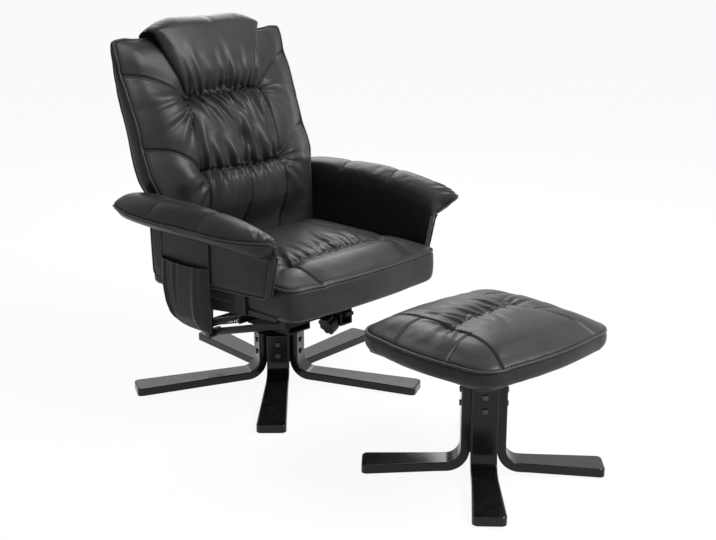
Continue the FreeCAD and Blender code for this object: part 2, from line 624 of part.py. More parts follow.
def crank_plate(label, side):
    """Lever on the axle: its flange carries the back rail, its lower eye the yoke."""
    body = new_body(label)
    start = f"({side} * crank_offset + {min(side, 0)} * ear_thickness)"
    half = "crank_half_width"
    pad(body, YZ, start, [
        (f"{CRANK_Y} - {half}", f"{CRANK_Z} - {half}"), (f"{CRANK_Y} + {half}", f"{CRANK_Z} - {half}"),
        (f"{CRANK_Y} + {half}", f"{CRANK_Z} + {half}"), (f"pivot_back + {half} + 2", "pivot_height"),
        (f"pivot_back + {half} + 2", RAIL_UNDER), (f"pivot_back - {half} - 2", RAIL_UNDER),
        (f"pivot_back - {half} - 2", f"pivot_height - {half}"),
        (f"{CRANK_Y} - {half}", f"{CRANK_Z} + {half}"),
    ], "ear_thickness")
    pad(body, XY, f"{RAIL_UNDER} - steel", rectangle(
        f"{side} * (crank_offset + ear_thickness / 2)", f"pivot_back - {half} - 2",
        f"{side} * (crank_offset + crank_flange)", f"pivot_back + {half} + 2"), "steel")
    foot = value_of(f"{CRANK_Z} - {half}")
    round_edges(body, "crank_half_width * 0.9", lambda edge: along(edge, X_AXIS)
                and abs(edge.CenterOfMass.z - foot) < 0.1)
    cut_through(body, YZ, circles=[
        (("pivot_back", "pivot_height"), "axle_diameter + 2 * running_gap"),
        ((CRANK_Y, CRANK_Z), "crank_bolt_diameter + 2 * screw_gap")])
    cut_through(body, XY, circles=[((x, y), "screw_diameter + 2 * screw_gap")
                                   for x, y, z in crank_screw_spots() if value_of(x) * side > 0])


def crank_screw_spots():
    middle = "(crank_offset + ear_thickness + (crank_flange - ear_thickness) / 2)"
    return [(f"{side} * {middle}", f"pivot_back + {step} * crank_half_width * 0.6", f"{RAIL_UNDER} - steel")
            for side in (-1, 1) for step in (-1, 1)]


def cranks():
    crank_plate("right_crank_plate", -1)
    crank_plate("left_crank_plate", 1)
    wood_screws("crank_screws", crank_screw_spots(), "steel + 2 * screw_bite")
    bolts = []
    for side in (-1, 1):
        face = FreeCAD.Vector(side * value_of(CRANK_OUTER), value_of(CRANK_Y), value_of(CRANK_Z))
        grip = value_of(f"{CRANK_OUTER} - yoke_offset + yoke_eye_length / 2 + 4")
        bolts.append(screw(face, X_AXIS * -side, size("crank_bolt_diameter"), grip,
                           size("crank_bolt_diameter") * 1.9, size("crank_bolt_diameter") * 0.6))
    shape_node("crank_bolts", Part.makeCompound(bolts))


def spring_place(ahead):
    """Formulas of the point on the spring axis that lies ahead of the crank pin."""
    y = f"({CRANK_Y} - ({ahead}) * cos(yoke_slope) + spring_lift * sin(yoke_slope))"
    z = f"({CRANK_Z} + ({ahead}) * sin(yoke_slope) + spring_lift * cos(yoke_slope))"
    return y, z


def crossbar():
    """Flat bar between the crank plates that the springs push against."""
    bar = doc.addObject("Part::Box", "spring_crossbar")
    bar.Placement.Rotation = FreeCAD.Rotation(X_AXIS, 1)
    y, z = spring_place("spring_start")
    bind(bar, Length="2 * crank_offset", Width="steel", Height="spring_cup",
         Placement__Base__x="-1 * crank_offset",
         Placement__Base__y=f"{y} - spring_cup / 2 * sin(yoke_slope)",
         Placement__Base__z=f"{z} - spring_cup / 2 * cos(yoke_slope)",
         Placement__Rotation__Angle="-1 * yoke_slope")
    keep(bar, "spring_crossbar")


def yoke():
    """Two tubes from the crank pins to a bridge, and the tongue that the knob locks.

    Drawn level with its crank pins at the origin, then tilted about them."""
    pieces = []
    for side in (-1, 1):
        x = f"{side} * yoke_offset"
        rod = doc.addObject("Part::Cylinder", "yoke_tube_part")
        rod.Placement.Rotation = FreeCAD.Rotation(X_AXIS, 90)
        bind(rod, Radius="yoke_tube / 2", Height="yoke_length", Placement__Base__x=x)
        eye = doc.addObject("Part::Cylinder", "yoke_eye_part")
        eye.Placement.Rotation = FreeCAD.Rotation(Y_AXIS, 90)
        bind(eye, Radius="yoke_eye / 2", Height="yoke_eye_length",
             Placement__Base__x=f"{x} - yoke_eye_length / 2")
        pieces += [rod, eye]
    for name, wide, deep, high, y in (
            ("bridge", "2 * yoke_offset + yoke_tube", "bridge_size", "bridge_size",
             "-1 * (yoke_length + bridge_size / 2)"),
            ("tongue", "tongue_width", "tongue_length", "tongue_thickness",
             "-1 * (yoke_length + tongue_length)")):
        bar = doc.addObject("Part::Box", "yoke_" + name)
        bind(bar, Length=wide, Width=deep, Height=high, Placement__Base__x=f"-1 * ({wide}) / 2",
             Placement__Base__y=y, Placement__Base__z=f"-1 * {high} / 2")
        pieces.append(bar)
    frame = doc.addObject("Part::MultiFuse", "yoke_frame")
    frame.Shapes = pieces
    bore = across("yoke_bore", "(crank_bolt_diameter / 2 + running_gap)",
                  "(yoke_offset + yoke_eye_length)", "0", "0")
    part = doc.addObject("Part::Cut", "recline_yoke")
    part.Base = frame
    part.Tool = bore
    part.Placement.Rotation = FreeCAD.Rotation(X_AXIS, 1)
    bind(part, Placement__Base__y=CRANK_Y, Placement__Base__z=CRANK_Z,
         Placement__Rotation__Angle="-1 * yoke_slope")
    keep(part, "recline_yoke")


def knob_axis():
    """Middle of the lock screw's tip and its outward direction, towards the sitter's right."""
    tilt = math.radians(size("knob_tilt"))
    outward = FreeCAD.Vector(-math.cos(tilt), 0, -math.sin(tilt))
    tip = FreeCAD.Vector(-size("tongue_width") / 2, -size("lock_front"), value_of(YOKE_Z))
    return tip + outward * size("lock_play") * 0.6, outward


def lock_bracket():
    """Saddle round the tongue under the seat plate, with a threaded boss for the lock screw."""
    tip, outward = knob_axis()
    length, steel = size("lock_length"), size("steel")
    half = value_of(LOCK_HALF)
    low, high = size("lock_height"), value_of(PLATE_UNDER)
    start = -size("lock_front") - length / 2
    cheeks = [Part.makeBox(steel, length, high - low, FreeCAD.Vector(x, start, low))
              for x in (-half - steel, half)]
    strap = Part.makeBox(2 * (half + steel), length, steel,
                         FreeCAD.Vector(-half - steel, start, low - steel))
    reach = half + steel - abs(tip.x)
    boss = Part.makeCylinder(size("knob_boss_diameter") / 2, size("knob_boss_length") + reach, tip, outward)
    inside = Part.makeBox(2 * half, length * 2, high - low, FreeCAD.Vector(-half, start - length / 2, low))
    body = cheeks[0].fuse([cheeks[1], strap, boss.cut(inside)])
    bore = Part.makeCylinder(size("knob_screw_diameter") / 2 + size("running_gap"), 2 * length,
                             tip - outward * length, outward)
    shape_node("lock_bracket", body.cut(bore.common(boss.fuse(cheeks[0]))).removeSplitter())


def lock_knob():
    tip, outward = knob_axis()
    steel = size("steel")
    face = value_of(LOCK_HALF) + steel - abs(tip.x) + size("knob_boss_length") + size("knob_travel")
    shank = Part.makeCylinder(size("knob_screw_diameter") / 2, face + size("knob_height") * 0.6,
                              tip, outward)
    radius, height = size("knob_diameter") / 2, size("knob_height")
    handle = Part.makeCylinder(radius, height, tip + outward * face, outward)
    side = outward.cross(Y_AXIS)
    for k in range(KNOB_FLUTES):
        angle = 2 * math.pi * k / KNOB_FLUTES
        flute = Y_AXIS * math.cos(angle) + side * math.sin(angle)
        middle = tip + outward * face + flute * (radius + size("knob_lobes_depth"))
        handle = handle.cut(Part.makeCylinder(size("knob_lobes_depth") * 2, height, middle, outward))
    rims = [edge for edge in handle.Edges
            if abs((edge.CenterOfMass - tip).dot(outward) - face - height) < 0.01]
    handle = handle.makeFillet(size("knob_edge"), rims)
    shape_node("lock_knob", handle.cut(shank))
    shape_node("lock_screw", shank)


def self_gap(path, wire):
    """Least gap of a coiled wire to itself, between points that are half a turn or more apart."""
    spots = path.discretize(SPRING_TURNS * SAMPLES_PER_TURN + 1)
    apart = SAMPLES_PER_TURN // 2
    return min(near.distanceToPoint(far) for k, near in enumerate(spots) for far in spots[k + apart:]) - wire


def springs():
    """Two compression springs between the crank plates and the housing, above the yoke tubes."""
    wire = size("spring_wire")
    radius = (size("spring_diameter") - wire) / 2
    pitch = (size("spring_length") - wire) / SPRING_TURNS
    slope = math.radians(size("yoke_slope"))
    eighths = 8 * SPRING_TURNS
    points = [FreeCAD.Vector(radius * math.cos(math.pi / 4 * k), radius * math.sin(math.pi / 4 * k),
                             pitch * k / 8) for k in range(eighths + 1)]
    edges = [Part.Arc(points[k], points[k + 1], points[k + 2]).toShape() for k in range(0, eighths, 2)]
    path = Part.Wire(edges)
    start = edges[0].Vertexes[0].Point
    ring = Part.Wire([Part.Circle(start, edges[0].tangentAt(edges[0].FirstParameter), wire / 2).toShape()])
    coil = path.makePipeShell([ring], True, False)
    print(f"spring's least gap to itself {self_gap(path, wire):.2f} mm, volume {coil.Volume:.0f} "
          f"for {path.Length * math.pi * wire ** 2 / 4:.0f}")
    forward = FreeCAD.Vector(0, -math.cos(slope), math.sin(slope))
    upward = FreeCAD.Vector(0, math.sin(slope), math.cos(slope))
    solids = []
    for side in (-1, 1):
        foot = FreeCAD.Vector(side * size("yoke_offset"), value_of(CRANK_Y), value_of(CRANK_Z))
        foot += forward * (size("spring_start") + wire / 2) + upward * size("spring_lift")
        copy = coil.copy()
        copy.Placement = FreeCAD.Placement(foot, FreeCAD.Rotation(Z_AXIS, forward))
        solids.append(copy)
    shape_node("recline_springs", Part.makeCompound(solids))


# Soft forms: a ruled loft through closed sections of lines and arcs
def section(back_left, front_left, crown, front_right, back_right, draw):
    """Flat base, drawn-in sides and a crowned face."""
    middle_left = (back_left + front_left) * 0.5 + draw
    middle_right = (back_right + front_right) * 0.5 - draw
    return Part.Wire([
        Part.LineSegment(back_right, back_left).toShape(),
        Part.Arc(back_left, middle_left, front_left).toShape(),
        Part.Arc(front_left, crown, front_right).toShape(),
        Part.Arc(front_right, middle_right, back_right).toShape(),
    ])


def loft(label, sections):
    return shape_node(label, Part.makeLoft(sections, True, True))


def dip(distance, half_width):
    """1 in the middle of a sewn channel, falling to 0 at its edges."""
    return max(0.0, 1 - abs(distance) / half_width)


def rounded(share, power=4):
    """A superellipse's quarter: 1 in the middle and 0 at the ends of -1 to 1."""
    return max(0.0, 1 - abs(share) ** power) ** (1 / power)


def seat_cushion():
    front, back = -size("seat_front") - size("seat_bow"), size("seat_back")
    low, welt = value_of(BOARD_TOP), size("seat_welt")
    stations = [0, 0.02, 0.06, 0.14, 0.26, 0.42, 0.6, 0.78, 0.92, 1]
    sections = []
    for share in stations:
        y = front + (back - front) * share
        into = y - front
        narrowing = max(0.0, 1 - into / (2.5 * size("seat_bow")))
        half = size("seat_half_width") * (1 - 0.2 * narrowing ** 2)
        crown = size("seat_crown") * rounded(2 * share - 1, 3) + 2
        sections.append(section(
            FreeCAD.Vector(-half, y, low), FreeCAD.Vector(-half, y, welt),
            FreeCAD.Vector(0, y, welt + crown),
            FreeCAD.Vector(half, y, welt), FreeCAD.Vector(half, y, low), X_AXIS * size("seat_draw")))
    loft("seat_cushion", sections)


def lean_point(rise):
    """Place along the backrest's front welt line and its forward direction."""
    lean = math.radians(size("back_lean"))
    bend = size("back_bend")
    if rise <= 0:
        return FreeCAD.Vector(0, size("back_front"), bend + rise), Y_AXIS * -1
    up = FreeCAD.Vector(0, math.sin(lean), math.cos(lean))
    forward = FreeCAD.Vector(0, -math.cos(lean), math.sin(lean))
    return FreeCAD.Vector(0, size("back_front"), bend) + up * rise, forward


def back_lines(front_gap, back_gap, low, high):
    """Corner points of a bent slab between two depths behind the welt line, up to a rise."""
    lean, half = "back_lean", "(back_lean / 2)"
    front, back = f"(back_front + {front_gap})", f"(back_front + {back_gap})"
    top = f"({high})"
    return [
        (front, low), (back, low),
        (back, f"back_bend - {back_gap} * tan{half}"),
        (f"back_front + {top} * sin({lean}) + {back_gap} * cos({lean})",
         f"back_bend + {top} * cos({lean}) - {back_gap} * sin({lean})"),
        (f"back_front + {top} * sin({lean}) + {front_gap} * cos({lean})",
         f"back_bend + {top} * cos({lean}) - {front_gap} * sin({lean})"),
        (front, f"back_bend - {front_gap} * tan{half}"),
    ]


def back_frame():
    """Wooden rail on the cranks, bent plywood board on it and the padded rear cover."""
    rail = new_body("back_rail")
    pad(rail, YZ, "0", rectangle(RAIL_FRONT, RAIL_UNDER, RAIL_BACK, RAIL_TOP),
        "2 * rail_half_width", both_ways=True)
    pilot_holes(rail, XY, RAIL_UNDER, [(x, y) for x, y, z in crank_screw_spots()], "2 * screw_bite + 1")
    front_gap = "(board_line - back_front)"
    back_gap = f"({front_gap} + board)"
    board = new_body("back_board")
    pad(board, YZ, "0", back_lines(front_gap, back_gap, RAIL_TOP, "back_rise - board"),
        "2 * rail_half_width", both_ways=True)
    cover = new_body("back_cover")
    cover_gap = f"({RAIL_BACK} + seat_gap - back_front)"
    wide = "(back_half_width + back_flare)"
    pad(cover, YZ, "0", back_lines(cover_gap, f"({cover_gap} + cover_depth)", RAIL_UNDER, "back_rise"),
        f"2 * {wide}", both_ways=True)
    waist = [("back_half_width", "0"), (f"{wide} + steel", "0"),
             (f"{wide} + steel", "back_bend + flare_end * cos(back_lean)"),
             (wide, "back_bend + flare_end * cos(back_lean)"),
             ("back_half_width", "back_bend + flare_start * cos(back_lean)")]
    cut_through(cover, XZ, outlines=[[(f"{side} * ({x})", z) for x, z in waist] for side in (-1, 1)])
    foot = value_of(RAIL_TOP)
    round_edges(cover, "cover_depth * 0.8",
                lambda edge: along(edge, Y_AXIS) and edge.CenterOfMass.z < foot)


def back_half(rise):
    """Half width of the backrest, which widens above the arms."""
    share = (rise - size("flare_start")) / (size("flare_end") - size("flare_start"))
    return size("back_half_width") + size("back_flare") * min(1, max(0, share))


def back_crown(rise):
    """How far the back cushion's middle stands in front of its welt line."""
    low = value_of("seat_welt + seat_crown - back_bend")
    top = size("back_rise")
    head = size("upper_seam") + size("back_seam_half")
    if rise <= low or rise >= head:
        return size("edge_crown")
    swell = size("back_crown") * rounded(2 * (rise - low) / (top - low) - 1)
    channels = [dip(rise - size(seam), size("back_seam_half")) for seam in ("lower_seam", "upper_seam")]
    return size("edge_crown") + swell - max(channels) * size("back_seam_depth")


def back_cushion():
    """Crowned front pad with two sewn channels across it; it laps the rail and lies on the board."""
    gap, bend, top = size("seat_gap"), size("back_bend"), size("back_rise")
    rail_top = value_of(RAIL_TOP) - bend
    on_rail = value_of(f"{RAIL_FRONT} - back_front") - gap
    on_board = value_of("board_line - back_front") - gap
    low = value_of("seat_welt + seat_crown") - bend
    seams, width = (size("lower_seam"), size("upper_seam")), size("back_seam_half")
    rises = [rail_top + 2 * gap, low, low * 0.75, low * 0.4, 0, (seams[0] + seams[1]) / 2,
             (seams[1] + top) / 2, top - width, top]
    rises += [seam + step * width for seam in seams for step in (-1, 0, 1)]
    stations = [(value_of(RAIL_UNDER) - bend, on_rail), (rail_top + gap, on_rail)]
    stations += [(rise, on_board) for rise in sorted(rises)]
    sections = []
    for rise, depth in stations:
        point, forward = lean_point(rise)
        across_half = X_AXIS * back_half(rise)
        foot = point - forward * depth
        sections.append(section(foot - across_half, point - across_half, point + forward * back_crown(rise),
                                point + across_half, foot + across_half, X_AXIS * size("back_draw")))
    loft("back_cushion", sections)


def head_pillow():
    """Bolster that lies on the head of the back cushion, widens upwards and rises over its top."""
    start = size("upper_seam") + size("back_seam_half")
    end = size("back_rise") + size("pillow_over")
    low, high = size("pillow_half_low"), size("pillow_half_high")
    under = size("edge_crown") + size("seat_gap")
    sections = []
    for share in (0, 0.06, 0.18, 0.35, 0.55, 0.75, 0.9, 0.97, 1):
        point, forward = lean_point(start + (end - start) * share)
        full = rounded(2 * share - 1, 3)
        thick = size("edge_crown") + size("pillow_depth") * full
        half = X_AXIS * (low + (high - low) * share)
        back, front = point + forward * under, point + forward * (under + thick * 0.45)
        sections.append(section(back - half, front - half, point + forward * (under + thick),
                                front + half, back + half, X_AXIS * thick * 0.06))
    loft("head_pillow", sections)


# Arms: panel, padded wing, steel brackets and the side pocket
def arm_panel(label, side):
    body = new_body(label)
    start = f"({side} * arm_inner + {min(side, 0)} * arm_board)"
    pad(body, YZ, start, [
        ("-1 * arm_front_low", "arm_foot_front"), ("arm_back", "arm_foot_back"),
        ("arm_back", "arm_head_back"), ("-1 * arm_front_high", "arm_head_front"),
    ], "arm_board")
    foot = value_of("arm_foot_front") + 1
    round_edges(body, "arm_corner", lambda edge: along(edge, X_AXIS) and edge.CenterOfMass.z < foot)
    pilot_holes(body, YZ, f"{side} * arm_inner", arm_bolt_spots(), "2 * screw_bite + 1", side > 0)


def arm_wing(label, side):
    """Padded wing on an arm panel: it rolls outwards to a welted edge and narrows to its ends."""
    front, back = -size("wing_front"), size("wing_back")
    panel_front, panel_back = -size("arm_front_high"), size("arm_back")
    slope = (size("arm_head_back") - size("arm_head_front")) / (panel_back - panel_front)
    inner = size("arm_inner")
    outer_face = value_of(ARM_OUTER)
    sections = []
    for share in (0, 0.03, 0.1, 0.22, 0.4, 0.6, 0.78, 0.9, 0.97, 1):
        y = front + (back - front) * share
        full = rounded(2 * share - 1, 3)
        head = size("arm_head_front") + slope * (y - panel_front) + size("seat_gap")
        edge = size("wing_edge_front") + (size("wing_edge_back") - size("wing_edge_front")) * share
        square = rounded(2 * share - 1, WING_REAR_POWER if share > 0.5 else WING_FRONT_POWER)
        reach = outer_face + (size("wing_outer") - outer_face) * (WING_TIP_SHARE + (1 - WING_TIP_SHARE) * square)
        foot = head + (edge - head - size("wing_lip")) * (1 - square)
        crest = edge + size("wing_crest") * (0.2 + 0.8 * full)
        inside = [FreeCAD.Vector(side * inner, y, foot), FreeCAD.Vector(side * inner, y, edge)]
        middle = FreeCAD.Vector(side * (inner * 0.55 + reach * 0.45), y, crest)
        tip = FreeCAD.Vector(side * reach, y, edge)
        root = FreeCAD.Vector(side * outer_face, y, foot)
        under = (tip + root) * 0.5 + FreeCAD.Vector(side * 4, 0, -4)
        sections.append(Part.Wire([
            Part.LineSegment(root, inside[0]).toShape(), Part.LineSegment(inside[0], inside[1]).toShape(),
            Part.Arc(inside[1], middle, tip).toShape(), Part.Arc(tip, under, root).toShape()]))
    loft(label, sections)


def arm_bolt_spots():
    """Where the arm bolts enter an arm panel's inner face, as Y and Z."""
    return [(f"{middle} + {shift} * arm_bracket_width", f"{ARM_BRACKET_TOP} - 0.35 * arm_bracket_width")
            for middle in ARM_BRACKETS for shift in (-0.25, 0.25)]


def arm_screw_spots():
    """Where the arm brackets are screwed to the seat board, as X and Y."""
    return [(f"{side} * (arm_inner - arm_bracket_reach + {inset} * arm_bracket_width)", middle)
            for side in (-1, 1) for middle in ARM_BRACKETS for inset in (0.35, 1.05)]


def arm_bracket(side, middle):
    """Angle from the seat board's underside up to an arm panel's inner face."""
    steel, width, inner = size("steel"), size("arm_bracket_width"), size("arm_inner")
    low, reach = value_of(PLATE_UNDER), size("arm_bracket_reach")
    start = value_of(middle) - width / 2
    hole = size("screw_diameter") / 2 + size("screw_gap")
    upright = Part.makeBox(steel, width, value_of(ARM_BRACKET_TOP) - low,
                           FreeCAD.Vector(min(side * inner, side * (inner - steel)), start, low))
    foot = Part.makeBox(reach, width, steel,
                        FreeCAD.Vector(min(side * inner, side * (inner - reach)), start, low))
    angle = upright.fuse(foot).removeSplitter()
    for y, z in arm_bolt_spots():
        spot = FreeCAD.Vector(side * (inner - 2 * steel), value_of(y), value_of(z))
        angle = angle.cut(Part.makeCylinder(hole, 3 * steel, spot, X_AXIS * side))
    for x, y in arm_screw_spots():
        spot = FreeCAD.Vector(value_of(x), value_of(y), low - steel)
        angle = angle.cut(Part.makeCylinder(hole, 3 * steel, spot))
    return angle


def arms():
    bolts = []
    for name, side in (("right", -1), ("left", 1)):
        arm_panel(f"{name}_arm_panel", side)
        arm_wing(f"{name}_arm_wing", side)
        angles = [arm_bracket(side, middle) for middle in ARM_BRACKETS]
        shape_node(f"{name}_arm_brackets", Part.makeCompound(angles))
        for y, z in arm_bolt_spots():
            head = FreeCAD.Vector(side * value_of("arm_inner - steel"), value_of(y), value_of(z))
            bolts.append(screw(head, X_AXIS * side, size("screw_diameter"),
                               value_of("steel + 2 * screw_bite"),
                               size("screw_head_diameter"), size("flat_head_height")))
    shape_node("arm_bolts", Part.makeCompound(bolts))
    heads = [(x, y, PLATE_UNDER) for x, y in arm_screw_spots()]
    wood_screws("arm_bracket_screws", heads, "steel + screw_bite")


def side_pocket():
    """Open bag on the right arm panel, with a back wall that runs up under the wing."""
    front, back = "-1 * pocket_front", "pocket_back"
    body = new_body("side_pocket")
    outside = f"(-1 * {ARM_OUTER} - seat_gap)"
    bag = [
        (front, "pocket_foot"), (f"{front} + pocket_keel", "pocket_foot - pocket_sag"),
        (f"{back} - pocket_curve", "pocket_foot + pocket_curve_rise"),
        (f"{back} - pocket_tuck", "pocket_shoulder"), (back, "pocket_mouth"), (front, "pocket_mouth"),
    ]
    pad(body, YZ, f"{outside} - pocket_depth", bag, "pocket_depth")
    pad(body, YZ, f"{outside} - pocket_wall",
        rectangle(front, "pocket_mouth - pocket_lap", back, "pocket_head"), "pocket_wall")
    drawing = sketch(body, YZ, f"{outside} - pocket_depth + pocket_wall")
    wall = "pocket_wall"
    draw_polygon(drawing, [
        (f"{front} + {wall}", f"pocket_foot + {wall}"),
        (f"{front} + pocket_keel", f"pocket_foot - pocket_sag + {wall}"),
        (f"{back} - pocket_curve - {wall}", f"pocket_foot + pocket_curve_rise + {wall}"),
        (f"{back} - pocket_tuck - {wall}", f"pocket_shoulder + {wall}"),
        (f"{back} - {wall}", "pocket_mouth"), (f"{back} - {wall}", "pocket_mouth + 1"),
        (f"{front} + {wall}", "pocket_mouth + 1"),
    ])
    hollow = body.newObject("PartDesign::Pocket", "side_pocket_hollow")
    hollow.Profile = drawing
    hollow.Reversed = True
    bind(hollow, Length=f"pocket_depth - 2 * {wall}")


# Stool top
def stool_top():
    turn = "stool_yaw"
    plate = new_body("stool_top_plate")
    half = "stool_plate_side / 2"
    spots = [(f"{a} * stool_plate_screw", f"{b} * stool_plate_screw") for a in (-1, 1) for b in (-1, 1)]
    pad(plate, XY, "stool_hub_top", rectangle(f"-1 * {half}", f"-1 * {half}", half, half), "steel")
    round_edges(plate, "3 * steel", lambda edge: along(edge, Z_AXIS))
    cut_through(plate, XY, circles=[(spot, "screw_diameter + 2 * screw_gap") for spot in spots])
    standing("stool_x", "stool_y", turn)(plate)
    board = new_body("stool_board")
    wide, deep = "(stool_half_width - stool_board_inset)", "(stool_half_depth - stool_board_inset)"
    pad(board, XY, "stool_hub_top + steel", rectangle(f"-1 * {wide}", f"-1 * {deep}", wide, deep), "board")
    round_edges(board, "stool_board_inset", lambda edge: along(edge, Z_AXIS))
    pilot_holes(board, XY, "stool_hub_top + steel", spots, "screw_bite + 1")
    standing("stool_x", "stool_y", turn)(board)
    place = FreeCAD.Placement(FreeCAD.Vector(size("stool_x"), size("stool_y"), 0),
                              FreeCAD.Rotation(Z_AXIS, size("stool_yaw")))
    heads = [FreeCAD.Vector(value_of(x), value_of(y), size("stool_hub_top")) for x, y in spots]
    screws = [screw(head, Z_AXIS, size("screw_diameter"), size("steel") + size("screw_bite"),
                    size("screw_head_diameter"), size("screw_head_height")) for head in heads]
    shape_node("stool_screws", Part.makeCompound(screws)).Placement = place
    stool_cushion(place)


def stool_cushion(place):
    """Crowned pad with bowed sides and a sewn line across its middle."""
    low, welt = value_of("stool_hub_top + steel + board") + size("seat_gap"), size("stool_welt")
    deep, wide, bow = size("stool_half_depth"), size("stool_half_width"), size("stool_bow")
    seam_half = deep * 0.08
    half_stations = [seam_half / deep, 0.5, 0.75, 0.9, 0.97, 1]
    stations = [-share for share in reversed(half_stations)] + [0] + half_stations
    sections = []
    for share in stations:
        y = share * deep
        full = rounded(share, 6)
        half = (wide - bow) * (0.72 + 0.28 * full) + bow * (1 - share ** 2)
        crown = 3 + size("stool_crown") * rounded(share, 2.5) - size("stool_seam_depth") * dip(y, seam_half)
        sections.append(section(
            FreeCAD.Vector(-half, y, low), FreeCAD.Vector(-half, y, welt),
            FreeCAD.Vector(0, y, welt + crown),
            FreeCAD.Vector(half, y, welt), FreeCAD.Vector(half, y, low), X_AXIS * size("stool_draw")))
    loft("stool_cushion", sections).Placement = place


def seat_board():
    body = new_body("seat_board")
    pad(body, XY, "seat_base", rectangle("-1 * seat_board_half_width", "-1 * seat_board_front",
                                         "seat_board_half_width", "seat_board_back"), "board")
    round_edges(body, "seat_board_corner", lambda edge: along(edge, Z_AXIS))
    spots = seat_screw_spots() + [(x, y) for x, y, z in hinge_screw_spots()] + arm_screw_spots()
    pilot_holes(body, XY, "seat_base", spots, "screw_bite + 1")


def export():
    """Check every object, then write one file per sub-part."""
    doc.recompute()
    failed = [thing.Label for thing in doc.Objects if {"Invalid", "Error"} & set(thing.State)]
    bad = [part.Label for part in SUB_PARTS if part.Shape.isNull() or not part.Shape.isValid()]
    if failed or bad:
        raise RuntimeError(f"failed objects {failed}, bad shapes {bad}")
    os.makedirs("parts", exist_ok=True)
    for part in SUB_PARTS:
        part.Shape.exportStep(f"parts/{part.Label}.step")
    print(len(SUB_PARTS), "sub-parts written")


bases()
swivel()
housing()
seat_plate()
wood_screws("seat_screws", [(x, y, PLATE_UNDER) for x, y in seat_screw_spots()], "steel + screw_bite")
seat_board()
seat_cushion()
recline_hinge()
cranks()
crossbar()
yoke()
lock_bracket()
lock_knob()
springs()
back_frame()
back_cushion()
head_pillow()
arms()
side_pocket()
stool_top()
export()
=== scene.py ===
"""Looks of the recliner and its footstool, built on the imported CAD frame. Metres, +Z up, chair facing -Y."""

import json
import math

import bpy
import numpy as np
from mathutils import Matrix, Vector
from mathutils.bvhtree import BVHTree
from mathutils.kdtree import KDTree


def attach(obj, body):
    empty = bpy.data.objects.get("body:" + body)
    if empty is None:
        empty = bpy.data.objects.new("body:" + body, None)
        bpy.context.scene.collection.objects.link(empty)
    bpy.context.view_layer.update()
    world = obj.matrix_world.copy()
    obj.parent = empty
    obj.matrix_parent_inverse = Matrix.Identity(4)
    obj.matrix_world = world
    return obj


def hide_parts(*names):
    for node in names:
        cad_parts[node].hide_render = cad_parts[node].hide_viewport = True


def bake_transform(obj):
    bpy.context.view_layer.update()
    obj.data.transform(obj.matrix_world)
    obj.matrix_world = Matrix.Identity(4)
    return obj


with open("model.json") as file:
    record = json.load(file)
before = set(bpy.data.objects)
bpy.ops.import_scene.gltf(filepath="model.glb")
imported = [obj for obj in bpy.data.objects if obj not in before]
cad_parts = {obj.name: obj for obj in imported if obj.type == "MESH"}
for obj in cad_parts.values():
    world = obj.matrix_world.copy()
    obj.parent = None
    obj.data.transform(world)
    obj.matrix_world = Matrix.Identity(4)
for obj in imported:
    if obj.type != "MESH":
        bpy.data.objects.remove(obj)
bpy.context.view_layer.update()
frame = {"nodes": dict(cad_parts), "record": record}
scene = bpy.context.scene
scene.view_settings.view_transform = "Standard"


# Camera at the photograph's viewing angle
EYE, GAZE = (-2.3103, -2.4793, 1.3192), (0.70021, 0.65588, -0.2822)
SENSOR, LENS = 36.0, 61.85


def add_camera():
    data = bpy.data.cameras.new("camera")
    data.sensor_width = SENSOR
    data.lens = LENS
    camera = bpy.data.objects.new("camera", data)
    scene.collection.objects.link(camera)
    forward = Vector(GAZE).normalized()
    right = forward.cross(Vector((0, 0, 1))).normalized()
    up = right.cross(forward)
    turn = Matrix((right, up, -forward)).transposed().to_4x4()
    camera.matrix_world = Matrix.Translation(EYE) @ turn
    scene.camera = camera


add_camera()


# Materials
def new_material(name):
    mat = bpy.data.materials.new(name)
    mat.use_nodes = True
    nodes, links = mat.node_tree.nodes, mat.node_tree.links
    coords = nodes.new("ShaderNodeTexCoord")
    return mat, nodes, links, nodes["Principled BSDF"], coords.outputs["Object"]


def noise(nodes, links, vector, scale, detail=4.0, stretch=None):
    if stretch:
        mapping = nodes.new("ShaderNodeMapping")
        mapping.inputs["Scale"].default_value = stretch
        links.new(vector, mapping.inputs["Vector"])
        vector = mapping.outputs["Vector"]
    tex = nodes.new("ShaderNodeTexNoise")
    tex.inputs["Scale"].default_value = scale
    tex.inputs["Detail"].default_value = detail
    links.new(vector, tex.inputs["Vector"])
    return tex.outputs["Fac"]


def ramp(nodes, links, fac, low, high):
    """Grey from low to high over the middle of a noise."""
    node = nodes.new("ShaderNodeValToRGB")
    for element, place, value in zip(node.color_ramp.elements, (0.3, 0.7), (low, high)):
        element.position = place
        element.color = (value, value, value, 1)
    links.new(fac, node.inputs["Fac"])
    return node.outputs["Color"]


def spread(nodes, links, fac, low, high):
    node = nodes.new("ShaderNodeMapRange")
    node.inputs["To Min"].default_value = low
    node.inputs["To Max"].default_value = high
    links.new(fac, node.inputs["Value"])
    return node.outputs["Result"]


def bump(nodes, links, shader, height, distance, strength, before=None):
    node = nodes.new("ShaderNodeBump")
    node.inputs["Distance"].default_value = distance
    node.inputs["Strength"].default_value = strength
    links.new(height, node.inputs["Height"])
    if before:
        links.new(before, node.inputs["Normal"])
    links.new(node.outputs["Normal"], shader.inputs["Normal"])
    return node.outputs["Normal"]


